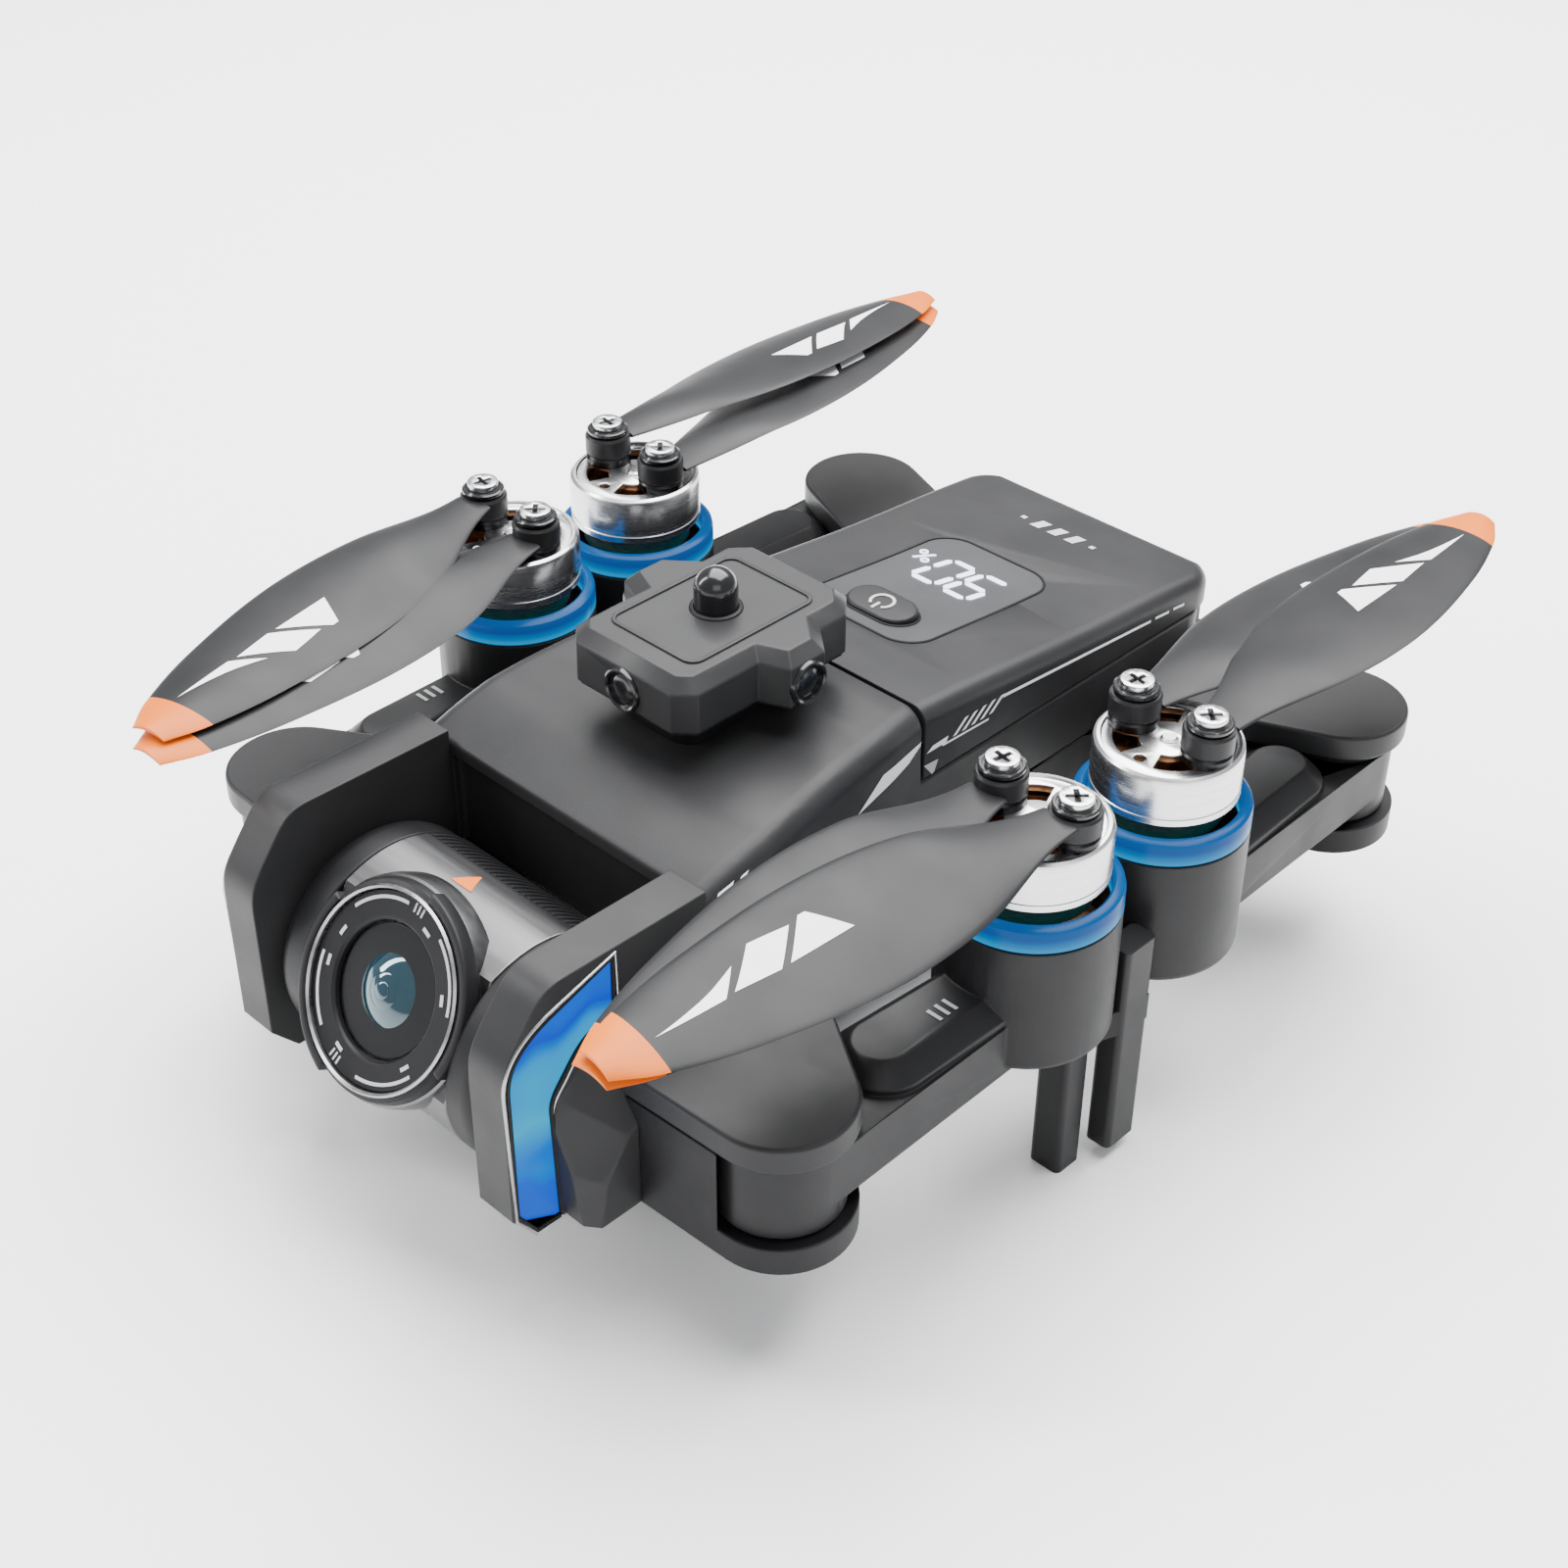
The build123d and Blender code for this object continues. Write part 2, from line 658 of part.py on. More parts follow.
with BuildPart() as battery_case:
    with BuildSketch(Plane.YZ):
        add(battery_face())
    extrude(amount=30, both=True)
    with BuildSketch(Plane.XY.offset(30)):
        add(battery_outline(waist_half_width, tail_corner))
    extrude(amount=30, mode=Mode.INTERSECT)
    top_rim = battery_case.edges().filter_by(
        lambda e: e.center().Z > 43.5 and e.center().Y > battery_front_y + 1)
    fillet(top_rim, battery_round)
    with BuildSketch(Plane.XY.offset(battery_floor_z)):
        with Locations((0, battery_plan_front)):
            Rectangle(2 * (waist_half_width - wall - swing_gap), tail_y - battery_plan_front,
                      align=(Align.CENTER, Align.MIN))
    extrude(amount=rail_z + swing_gap / 2 - battery_floor_z)
    with BuildSketch(Plane.XY.offset(battery_floor_z + cell_floor)):
        with Locations((0, (battery_plan_front + tail_y) / 2)):
            Rectangle(2 * cell_half_width, cell_length)
    extrude(amount=cell_height, mode=Mode.SUBTRACT)
    add(panel_space.part, mode=Mode.SUBTRACT)
    with BuildSketch(Plane.XY.offset(button_floor_z - button_travel - panel_gap)):
        with Locations((0, button_y)):
            SlotOverall(button_length + 1 + 2 * panel_gap, button_width + 1 + 2 * panel_gap)
    extrude(amount=10, mode=Mode.SUBTRACT)
    with BuildSketch(Plane.XZ.offset(-tail_y - 1)):
        with Locations((0, socket_z)):
            SlotOverall(socket_width, socket_height)
    extrude(amount=7, mode=Mode.SUBTRACT)
save(battery_case, "battery_case")

with BuildPart() as battery_cells:
    with BuildSketch(Plane.XY.offset(battery_floor_z + cell_floor)):
        with Locations((0, (battery_plan_front + tail_y) / 2)):
            RectangleRounded(2 * cell_half_width - 0.6, cell_length - 0.6, 2)
    extrude(amount=cell_height - 0.4)
save(battery_cells, "battery_cells")

with BuildPart() as display_panel:
    add(panel_space.part)
    with BuildSketch(Plane.XY.offset(60)):
        with Locations((0, button_y)):
            SlotOverall(button_length + 2 * panel_gap, button_width + 2 * panel_gap)
    extrude(amount=-30, mode=Mode.SUBTRACT)
save(display_panel, "display_panel")

with BuildPart() as power_button:
    with BuildSketch(Plane.XY.offset(button_top_z)):
        with Locations((0, button_y)):
            SlotOverall(button_length, button_width)
    extrude(amount=-button_body)
    fillet(power_button.faces().sort_by(Axis.Z)[-1].edges(), 0.5)
    with BuildSketch(Plane.XY.offset(button_floor_z)):
        with Locations((0, button_y)):
            SlotOverall(button_length + 1, button_width + 1)
    extrude(amount=button_flange)
save(power_button, "power_button")

with BuildPart() as charge_socket:
    with BuildSketch(Plane.XZ.offset(-tail_y + 0.4)):
        with Locations((0, socket_z)):
            SlotOverall(socket_width, socket_height)
            SlotOverall(socket_width - 0.6, socket_height - 0.6, mode=Mode.SUBTRACT)
    extrude(amount=5)
save(charge_socket, "charge_socket")

# ================================================================ arms
# corner: side, bracket, motor, and the way that its folded blades point
corners = {
    "front_left": (1, front_lobe, front_motor, -1),
    "front_right": (-1, front_lobe, front_motor, -1),
    "rear_left": (1, rear_lobe, rear_motor, 1),
    "rear_right": (-1, rear_lobe, rear_motor, 1),
}
arms = {}


def arm_body(lobe, hinge, motor, side):
    """Beam with its hinge knuckle at one end and the motor pod at the other."""
    along = heading(hinge, motor)
    ridge_start = around(hinge, lobe_radius + 6.5, along)
    with BuildPart() as arm:
        with BuildSketch(Plane.XY.offset(beam_bottom_z)):
            with Locations(on_side(hinge, side)):
                Circle(knuckle_radius)
            with Locations(on_side(motor, side)):
                Circle(beam_end_radius)
            make_hull()
        extrude(amount=beam_top_z - beam_bottom_z)
        fillet(arm.faces().sort_by(Axis.Z)[0].edges(), 1.0)
        with BuildSketch(Plane.XY.offset(beam_top_z)):
            with Locations(on_side(ridge_start, side)):
                Circle(knuckle_radius - 1.6)
            with Locations(on_side(motor, side)):
                Circle(beam_end_radius)
            make_hull()
        extrude(amount=ridge_height)
        chamfer(arm.faces().sort_by(Axis.Z)[-1].edges(), ridge_bevel)
        with BuildSketch(Plane.XY.offset(knuckle_top_z)):
            add(lobe_plan(**lobe, side=side))
            offset(amount=swing_gap)
        extrude(amount=10, mode=Mode.SUBTRACT)
        with BuildSketch(Plane.XY.offset(knuckle_bottom_z)):
            with Locations(on_side(hinge, side)):
                Circle(knuckle_radius)
        extrude(amount=knuckle_top_z - knuckle_bottom_z)
        with BuildSketch(Plane.XY.offset(pod_bottom_z)):
            with Locations(on_side(motor, side)):
                Circle(pod_radius)
        extrude(amount=pod_rim_z - pod_bottom_z)
        pod_foot = arm.edges().filter_by(GeomType.CIRCLE).filter_by(
            lambda e: abs(e.radius - pod_radius) < 0.01 and abs(e.center().Z - pod_bottom_z) < 0.01)
        if pod_foot:
            fillet(pod_foot, 1.2)
        with BuildSketch(Plane.XY.offset(pod_floor_z)):
            with Locations(on_side(motor, side)):
                Circle(pod_radius - pod_wall)
        extrude(amount=pod_rim_z - pod_floor_z, mode=Mode.SUBTRACT)
        with BuildSketch(Plane.XY.offset(knuckle_bottom_z)):
            with Locations(on_side(hinge, side)):
                Circle(pin_radius + fit_gap)
        extrude(amount=knuckle_top_z - knuckle_bottom_z, mode=Mode.SUBTRACT)
    return arm


for corner, (side, lobe, motor, facing) in corners.items():
    place = on_side(motor, side)
    arms[corner] = arm_body(lobe, lobe["hinge"], motor, side)
    save(arms[corner], f"arm_{corner}")

    with BuildPart() as led_ring:
        with BuildSketch(Plane.XY.offset(pod_rim_z)):
            with Locations(place):
                Circle(pod_radius)
                Circle(pod_radius - pod_wall, mode=Mode.SUBTRACT)
        extrude(amount=ring_height)
        fillet(led_ring.faces().sort_by(Axis.Z)[-1].edges(), 0.4)
    save(led_ring, f"led_ring_{corner}")

    with BuildPart() as stator:
        for bottom, top, radius in ((pod_floor_z, pod_floor_z + 2, pod_radius - pod_wall - panel_gap),
                                    (pod_floor_z + 2, bell_bottom_z - 3, 3.4),
                                    (bell_bottom_z - 3, bell_top_z - bell_plate - 1, stator_radius)):
            with BuildSketch(Plane.XY.offset(bottom)):
                with Locations(place):
                    Circle(radius)
            extrude(amount=top - bottom)
        with BuildSketch(Plane.XY.offset(pod_floor_z)):
            with Locations(place):
                Circle(shaft_radius + fit_gap)
        extrude(amount=30, mode=Mode.SUBTRACT)
    save(stator, f"stator_{corner}")

    with BuildPart() as bell:
        with BuildSketch(Plane.XY.offset(bell_bottom_z)):
            with Locations(place):
                Circle(bell_radius)
        extrude(amount=bell_top_z - bell_bottom_z)
        fillet(bell.faces().sort_by(Axis.Z)[-1].edges(), 0.5)
        with BuildSketch(Plane.XY.offset(bell_bottom_z)):
            with Locations(place):
                Circle(bell_radius - bell_wall)
        extrude(amount=bell_top_z - bell_plate - bell_bottom_z, mode=Mode.SUBTRACT)
        with BuildSketch(Plane.XY.offset(pod_floor_z + 0.5)):
            with Locations(place):
                Circle(shaft_radius)
        extrude(amount=bell_top_z - bell_plate - pod_floor_z - 0.5)
    save(bell, f"motor_bell_{corner}")

    posts = [(place[0] + post_offset, place[1]), (place[0] - post_offset, place[1])]
    pivot_top = bell_top_z + collar_height + boss_height + swing_gap / 2
    with BuildPart() as prop_hub:
        with BuildSketch(Plane.XY.offset(bell_top_z)):
            with Locations(*posts):
                Circle(post_radius)
        extrude(amount=collar_height)
        with BuildSketch(Plane.XY.offset(bell_top_z + collar_height)):
            with Locations(*posts):
                Circle(pivot_radius)
        extrude(amount=pivot_top - bell_top_z - collar_height)
    save(prop_hub, f"prop_hub_{corner}")

    with BuildPart() as blade_screws:
        with BuildSketch(Plane.XY.offset(pivot_top)):
            with Locations(*posts):
                Circle(post_radius - 0.3)
        extrude(amount=0.4)
        with BuildSketch(Plane.XY.offset(pivot_top + 0.4)):
            with Locations(*posts):
                Circle(screw_head_radius)
        extrude(amount=screw_head_height)
        fillet(blade_screws.faces().group_by(Axis.Z)[-1].edges(), 0.3)
    save(blade_screws, f"blade_screws_{corner}")

    boss_z = bell_top_z + collar_height + fit_gap * 2
    for role, lean in zip(("outer", "inner"), folded_lean[corner]):
        outward = side if role == "outer" else -side
        rise = outer_blade_rise if role == "outer" else inner_blade_rise
        points_to = facing * (90 + lean) if side > 0 else 180 - facing * (90 + lean)
        chord = -side * facing
        pivot = Plane(origin=(place[0] + outward * post_offset, place[1], boss_z),
                      x_dir=(*around((0, 0), 1, points_to), 0), z_dir=(0, 0, 1))
        with BuildPart() as blade:
            with BuildSketch(pivot.offset(rise)):
                with BuildLine():
                    lead = Spline(*[(along, chord * half) for along, half in leading_edge])
                    trail = Spline(*[(along, -chord * half) for along, half in trailing_edge])
                    Line(lead @ 0, trail @ 0)
                    Line(lead @ 1, trail @ 1)
                make_face()
            extrude(amount=blade_thickness)
            with BuildSketch(pivot):
                Circle(post_radius)
            extrude(amount=boss_height - 2 * fit_gap)
            with BuildSketch(pivot):
                Circle(pivot_radius + fit_gap)
            extrude(amount=boss_height, mode=Mode.SUBTRACT)
        save(blade, f"blade_{corner}_{role}")

# ================================================================ landing legs
for side, name in ((1, "left"), (-1, "right")):
    with BuildPart() as landing_leg:
        with BuildSketch(Plane.XY):
            with Locations(on_side(prong_place, side)):
                RectangleRounded(*prong_size, 0.8)
        extrude(amount=pod_bottom_z + 1)
        with BuildSketch(Plane.XY.offset(strut_foot_z)):
            with Locations(on_side(strut_place, side)):
                RectangleRounded(*strut_size, 0.8)
        extrude(amount=strut_top_z - strut_foot_z)
        with BuildSketch(Plane.XY.offset(leg_plate_z)):
            with BuildLine():
                Polyline(*[on_side(p, side) for p in leg_web], close=True)
            make_face()
        extrude(amount=pod_bottom_z + 1 - leg_plate_z)
        add(arms[f"front_{name}"].part, mode=Mode.SUBTRACT)
    save(landing_leg, f"landing_leg_{name}")
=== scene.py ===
# %% [markdown]
# # A folding camera drone, dressed in Blender
# The drone stands folded: four motor arms lie against the body, the propeller blades are
# swung together, and a camera drum sits between two lit cheeks at the nose. The CAD model
# is loaded as a fixed frame with real sizes and joints. This lesson gives each of its
# pieces the shape and finish that the real one has. Numbers are in millimetres and are
# turned into metres as each mesh is made.

# %% Load the frame
from math import cos, pi, radians, sin, sqrt

import bmesh
import bpy
from mathutils import Matrix, Vector
from mathutils.bvhtree import BVHTree


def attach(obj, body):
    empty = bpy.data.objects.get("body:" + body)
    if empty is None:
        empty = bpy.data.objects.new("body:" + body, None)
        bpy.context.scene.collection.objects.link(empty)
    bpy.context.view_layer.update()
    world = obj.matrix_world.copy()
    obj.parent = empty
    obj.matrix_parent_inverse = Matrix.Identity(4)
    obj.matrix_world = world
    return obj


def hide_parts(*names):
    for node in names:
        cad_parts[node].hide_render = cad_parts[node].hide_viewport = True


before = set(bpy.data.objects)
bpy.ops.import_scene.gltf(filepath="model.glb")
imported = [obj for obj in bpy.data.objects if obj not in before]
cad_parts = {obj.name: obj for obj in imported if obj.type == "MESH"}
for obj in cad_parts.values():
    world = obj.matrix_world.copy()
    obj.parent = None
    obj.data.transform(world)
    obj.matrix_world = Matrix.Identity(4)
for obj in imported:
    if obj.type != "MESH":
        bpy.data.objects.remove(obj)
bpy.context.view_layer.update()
MM = 0.001
CORNERS = {"front_left": (1, -1), "front_right": (-1, -1), "rear_left": (1, 1), "rear_right": (-1, 1)}


# %% [markdown]
# ## Small helpers
# Most pieces below are mesh code: a list of points in millimetres and a list of faces.
# One function makes the piece, gives it its finish, and lets it ride on its CAD body, so
# no piece is ever left behind when a joint moves.

# %% Make a piece
def finish_piece(piece, body, material, stands_for=()):
    """Gives a mesh object its finish, its body and the CAD nodes that it stands for."""
    if material is not None:
        piece.data.materials.clear()
        piece.data.materials.append(material)
    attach(piece, body)
    if stands_for:
        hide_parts(*stands_for)
    return piece


def mesh_from(name, points, faces):
    """Mesh object from points in millimetres."""
    mesh = bpy.data.meshes.new(name)
    mesh.from_pydata([tuple(c * MM for c in p) for p in points], [], faces)
    mesh.validate()
    piece = bpy.data.objects.new(name, mesh)
    bpy.context.collection.objects.link(piece)
    return piece


def tidy_normals(piece, angle=32):
    """Merges doubles, turns faces outwards and smooths all but the sharp edges."""
    work = bmesh.new()
    work.from_mesh(piece.data)
    bmesh.ops.remove_doubles(work, verts=work.verts, dist=2e-7)
    bmesh.ops.recalc_face_normals(work, faces=work.faces)
    work.to_mesh(piece.data)
    work.free()
    piece.data.shade_smooth()
    piece.data.set_sharp_from_angle(angle=radians(angle))
    return piece


def lathe(name, profile, centre=(0, 0), axis="z", steps=72):
    """Turned solid from (radius, height) points, closed where the radius is zero."""
    points, faces = [], []
    for radius, height in profile:
        for k in range(steps):
            turn = 2 * pi * k / steps
            a, b = radius * cos(turn), radius * sin(turn)
            points.append((height, centre[0] + a, centre[1] + b) if axis == "x"
                          else (centre[0] + a, centre[1] + b, height))
    for row in range(len(profile) - 1):
        for k in range(steps):
            j = (k + 1) % steps
            faces.append((row * steps + k, row * steps + j, (row + 1) * steps + j, (row + 1) * steps + k))
    piece = mesh_from(name, points, faces)
    work = bmesh.new()
    work.from_mesh(piece.data)
    bmesh.ops.remove_doubles(work, verts=work.verts, dist=2e-7)
    bmesh.ops.holes_fill(work, edges=[e for e in work.edges if e.is_boundary], sides=0)
    work.to_mesh(piece.data)
    work.free()
    return tidy_normals(piece)


def plate(name, loops, bottom, thickness, bevel=0.0, place=None):
    """Flat plate with holes: the first loop is its edge and the others are cut out."""
    curve = bpy.data.curves.new(name, "CURVE")
    curve.dimensions = "2D"
    curve.fill_mode = "BOTH"
    curve.extrude = thickness / 2 * MM - bevel * MM
    curve.bevel_depth = bevel * MM
    curve.bevel_resolution = 2
    curve.offset = -bevel * MM
    for loop in loops:
        line = curve.splines.new("POLY")
        line.points.add(len(loop) - 1)
        for point, (x, y) in zip(line.points, loop):
            point.co = (x * MM, y * MM, 0, 1)
        line.use_cyclic_u = True
    flat = bpy.data.objects.new(name + "_curve", curve)
    bpy.context.collection.objects.link(flat)
    mesh = bpy.data.meshes.new_from_object(flat.evaluated_get(bpy.context.evaluated_depsgraph_get()))
    mesh.name = name
    bpy.data.objects.remove(flat)
    bpy.data.curves.remove(curve)
    lift = Matrix.Translation((0, 0, (bottom + thickness / 2) * MM))
    mesh.transform(place @ lift if place is not None else lift)
    piece = bpy.data.objects.new(name, mesh)
    bpy.context.collection.objects.link(piece)
    return tidy_normals(piece)


def join(name, pieces):
    """One mesh object from several."""
    work = bmesh.new()
    for piece in pieces:
        work.from_mesh(piece.data)
    mesh = bpy.data.meshes.new(name)
    work.to_mesh(mesh)
    work.free()
    for piece in pieces:
        bpy.data.objects.remove(piece)
    whole = bpy.data.objects.new(name, mesh)
    bpy.context.collection.objects.link(whole)
    return tidy_normals(whole)


def ring_points(radius, count=48, centre=(0, 0), start=0.0, sweep=2 * pi):
    """Points on an arc or a full circle."""
    last = count if abs(sweep - 2 * pi) < 1e-6 else count - 1
    return [(centre[0] + radius * cos(start + sweep * k / last),
             centre[1] + radius * sin(start + sweep * k / last))
            for k in range(count)]


def arc_band(inner, outer, start, sweep, count=20, centre=(0, 0)):
    """Closed outline of a curved bar."""
    return (ring_points(outer, count, centre, start, sweep)
            + ring_points(inner, count, centre, start, sweep)[::-1])


def tube(name, path, radius, closed=False, sides=8):
    """Thin round line along a path in millimetres, as a mesh."""
    curve = bpy.data.curves.new(name, "CURVE")
    curve.dimensions = "3D"
    curve.bevel_depth = radius * MM
    curve.bevel_resolution = max(1, sides // 4)
    curve.use_fill_caps = True
    line = curve.splines.new("POLY")
    line.points.add(len(path) - 1)
    for point, (x, y, z) in zip(line.points, path):
        point.co = (x * MM, y * MM, z * MM, 1)
    line.use_cyclic_u = closed
    wire = bpy.data.objects.new(name + "_curve", curve)
    bpy.context.collection.objects.link(wire)
    mesh = bpy.data.meshes.new_from_object(wire.evaluated_get(bpy.context.evaluated_depsgraph_get()))
    mesh.name = name
    bpy.data.objects.remove(wire)
    bpy.data.curves.remove(curve)
    piece = bpy.data.objects.new(name, mesh)
    bpy.context.collection.objects.link(piece)
    return tidy_normals(piece)


# %% [markdown]
# ## Finishes
# Nearly everything is moulded plastic: a dark grey with a very fine spark texture, a bit
# rougher in some places than in others. A Noise texture on Object coordinates gives the
# grain, a second, larger one shifts the roughness, and a Bevel node inside the shader
# softens the sharpest edges, as a mould does.

# %% Material helpers
def new_material(name):
    """Empty node material with its output and a Principled shader."""
    material = bpy.data.materials.new(name)
    material.use_nodes = True
    tree = material.node_tree
    tree.nodes.clear()
    output = tree.nodes.new("ShaderNodeOutputMaterial")
    shader = tree.nodes.new("ShaderNodeBsdfPrincipled")
    tree.links.new(shader.outputs["BSDF"], output.inputs["Surface"])
    return material, tree, shader


def ramp_node(tree, value, stops):
    """Colour ramp fed by a value; stops are (place, colour)."""
    node = tree.nodes.new("ShaderNodeValToRGB")
    tree.links.new(value, node.inputs["Fac"])
    while len(node.color_ramp.elements) > 1:
        node.color_ramp.elements.remove(node.color_ramp.elements[-1])
    for i, (place, colour) in enumerate(stops):
        stop = node.color_ramp.elements[0] if i == 0 else node.color_ramp.elements.new(place)
        stop.position = place
        stop.color = (*colour, 1) if len(colour) == 3 else colour
    return node.outputs["Color"]


def noise_node(tree, scale, detail=2.0, stretch=None):
    """Noise on Object coordinates, stretched along an axis if asked."""
    where = tree.nodes.new("ShaderNodeTexCoord").outputs["Object"]
    if stretch:
        mapping = tree.nodes.new("ShaderNodeMapping")
        mapping.inputs["Scale"].default_value = stretch
        tree.links.new(where, mapping.inputs["Vector"])
        where = mapping.outputs["Vector"]
    node = tree.nodes.new("ShaderNodeTexNoise")
    node.inputs["Scale"].default_value = scale
    node.inputs["Detail"].default_value = detail
    tree.links.new(where, node.inputs["Vector"])
    return node.outputs["Fac"]


def moulded(name, dark, light, rough, grain=0.05, grain_scale=2600, soft_edge=0.25, coat=0.0):
    """Moulded plastic: colour drifts between two tones and the surface has a fine grain."""
    material, tree, shader = new_material(name)
    tree.links.new(ramp_node(tree, noise_node(tree, 60), [(0.3, dark), (0.7, light)]),
                   shader.inputs["Base Color"])
    low, high = rough - 0.05, rough + 0.05
    tree.links.new(ramp_node(tree, noise_node(tree, 140, 4), [(0.3, (low,) * 3), (0.7, (high,) * 3)]),
                   shader.inputs["Roughness"])
    bump = tree.nodes.new("ShaderNodeBump")
    bump.inputs["Strength"].default_value = grain
    bump.inputs["Distance"].default_value = 0.0002
    tree.links.new(noise_node(tree, grain_scale), bump.inputs["Height"])
    if soft_edge:
        edge = tree.nodes.new("ShaderNodeBevel")
        edge.samples = 4
        edge.inputs["Radius"].default_value = soft_edge * MM
        tree.links.new(edge.outputs["Normal"], bump.inputs["Normal"])
    tree.links.new(bump.outputs["Normal"], shader.inputs["Normal"])
    shader.inputs["Specular IOR Level"].default_value = 0.2
    shader.inputs["Coat Weight"].default_value = coat
    shader.inputs["Coat Roughness"].default_value = 0.2
    return material


def metal(name, dark, light, rough, stretch=None, scale=900, grain=0.06):
    """Turned or brushed metal, with its fine lines along one direction."""
    material, tree, shader = new_material(name)
    shader.inputs["Metallic"].default_value = 1.0
    lines = noise_node(tree, scale, 3, stretch)
    tree.links.new(ramp_node(tree, lines, [(0.25, dark), (0.75, light)]), shader.inputs["Base Color"])
    tree.links.new(ramp_node(tree, lines, [(0.2, (rough - 0.06,) * 3), (0.8, (rough + 0.08,) * 3)]),
                   shader.inputs["Roughness"])
    bump = tree.nodes.new("ShaderNodeBump")
    bump.inputs["Strength"].default_value = grain
    bump.inputs["Distance"].default_value = 0.0001
    tree.links.new(lines, bump.inputs["Height"])
    tree.links.new(bump.outputs["Normal"], shader.inputs["Normal"])
    return material


def glowing(name, stops, axis, low, high, strength, drift=0.0):
    """Lit plastic whose colour runs along one axis between two heights in millimetres."""
    material, tree, shader = new_material(name)
    split = tree.nodes.new("ShaderNodeSeparateXYZ")
    tree.links.new(tree.nodes.new("ShaderNodeTexCoord").outputs["Object"], split.inputs[0])
    spread = tree.nodes.new("ShaderNodeMapRange")
    spread.inputs["From Min"].default_value = low * MM
    spread.inputs["From Max"].default_value = high * MM
    tree.links.new(split.outputs[axis], spread.inputs["Value"])
    value = spread.outputs["Result"]
    if drift:
        add = tree.nodes.new("ShaderNodeMath")
        add.operation = "MULTIPLY_ADD"
        tree.links.new(noise_node(tree, 110, 1), add.inputs[0])
        add.inputs[1].default_value = drift
        tree.links.new(value, add.inputs[2])
        shift = tree.nodes.new("ShaderNodeMath")
        shift.operation = "SUBTRACT"
        tree.links.new(add.outputs[0], shift.inputs[0])
        shift.inputs[1].default_value = drift / 2
        value = shift.outputs[0]
    colour = ramp_node(tree, value, stops)
    shader.inputs["Base Color"].default_value = (0.0, 0.02, 0.06, 1)
    tree.links.new(colour, shader.inputs["Emission Color"])
    shader.inputs["Emission Strength"].default_value = strength
    shader.inputs["Specular IOR Level"].default_value = 0.1
    shader.inputs["Roughness"].default_value = 0.25
    return material


# %% The drone's own finishes
shell_grey = moulded("shell_grey", (0.017, 0.017, 0.018), (0.023, 0.023, 0.024), 0.42)
under_black = moulded("under_black", (0.005, 0.005, 0.006), (0.008, 0.008, 0.009), 0.45)
arm_black = moulded("arm_black", (0.010, 0.010, 0.011), (0.015, 0.015, 0.016), 0.42)
cover_grey = moulded("cover_grey", (0.020, 0.020, 0.021), (0.028, 0.028, 0.029), 0.36)
blade_grey = moulded("blade_grey", (0.012, 0.012, 0.013), (0.018, 0.018, 0.019), 0.38, grain=0.03,
                     soft_edge=0)
panel_grey = moulded("panel_grey", (0.045, 0.046, 0.048), (0.058, 0.059, 0.062), 0.28, grain=0.02)
gloss_black = moulded("gloss_black", (0.006, 0.006, 0.007), (0.01, 0.01, 0.011), 0.12, grain=0.0,
                      soft_edge=0.1, coat=0.6)
barrel_grey = metal("barrel_grey", (0.10, 0.10, 0.102), (0.14, 0.14, 0.143), 0.33, stretch=(0.05, 1, 1),
                    scale=700, grain=0.03)
bell_silver = metal("bell_silver", (0.62, 0.62, 0.63), (0.78, 0.78, 0.79), 0.24, stretch=(0.08, 0.08, 6),
                    scale=500)
screw_steel = metal("screw_steel", (0.55, 0.55, 0.56), (0.8, 0.8, 0.81), 0.22, scale=1500, grain=0.1)
post_black = metal("post_black", (0.02, 0.02, 0.022), (0.04, 0.04, 0.042), 0.3, scale=900)
# Grey metal for the bezel's rim, and for the painted highlight line beside the nose lights.
rim_grey = metal("rim_grey", (0.28, 0.28, 0.29), (0.36, 0.36, 0.37), 0.3, scale=900, grain=0.02)
copper_wire = metal("copper_wire", (0.28, 0.12, 0.05), (0.5, 0.24, 0.1), 0.35, stretch=(1, 1, 8), scale=800,
                    grain=0.3)
cell_foil = metal("cell_foil", (0.4, 0.4, 0.42), (0.5, 0.5, 0.52), 0.35, scale=300)
board_green = moulded("board_green", (0.005, 0.05, 0.03), (0.01, 0.09, 0.05), 0.35)
tip_orange = moulded("tip_orange", (0.60, 0.125, 0.003), (0.68, 0.15, 0.004), 0.42, grain=0.03, soft_edge=0)
paint_white = moulded("paint_white", (0.86, 0.86, 0.86), (0.92, 0.92, 0.92), 0.5, grain=0.02, soft_edge=0)
# Light grey for print on the lens face and battery, and painted highlight on the embossed arm ticks and power
# symbol.
paint_grey = moulded("paint_grey", (0.42, 0.42, 0.43), (0.5, 0.5, 0.51), 0.4, grain=0.02, soft_edge=0)
groove_black = moulded("groove_black", (0.003, 0.003, 0.003), (0.006, 0.006, 0.006), 0.6, grain=0.0,
                       soft_edge=0)
ring_blue = glowing("ring_blue", [(0.0, (0.0, 0.03, 0.3)), (0.12, (0.0, 0.45, 0.9)), (0.3, (0.0, 0.28, 0.7)),
                                  (0.6, (0.0, 0.08, 0.4)), (1.0, (0.0, 0.12, 0.45))], "Z", 40.8, 44.2, 0.7)
nose_blue = glowing("nose_blue", [(0.0, (0.0, 0.10, 0.9)), (0.25, (0.0, 0.12, 1.0)), (0.5, (0.0, 0.62, 1.0)),
                                  (0.7, (0.0, 0.45, 1.0)), (0.85, (0.0, 0.06, 0.9)), (1.0, (0.0, 0.14, 1.0))],
                    "Z", 15, 47, 0.8, drift=0.7)
digit_white = glowing("digit_white", [(0.0, (0.7, 0.76, 1.0)), (1.0, (0.8, 0.86, 1.0))], "Z", 40, 50, 5.0)
print("finishes:", len(bpy.data.materials))


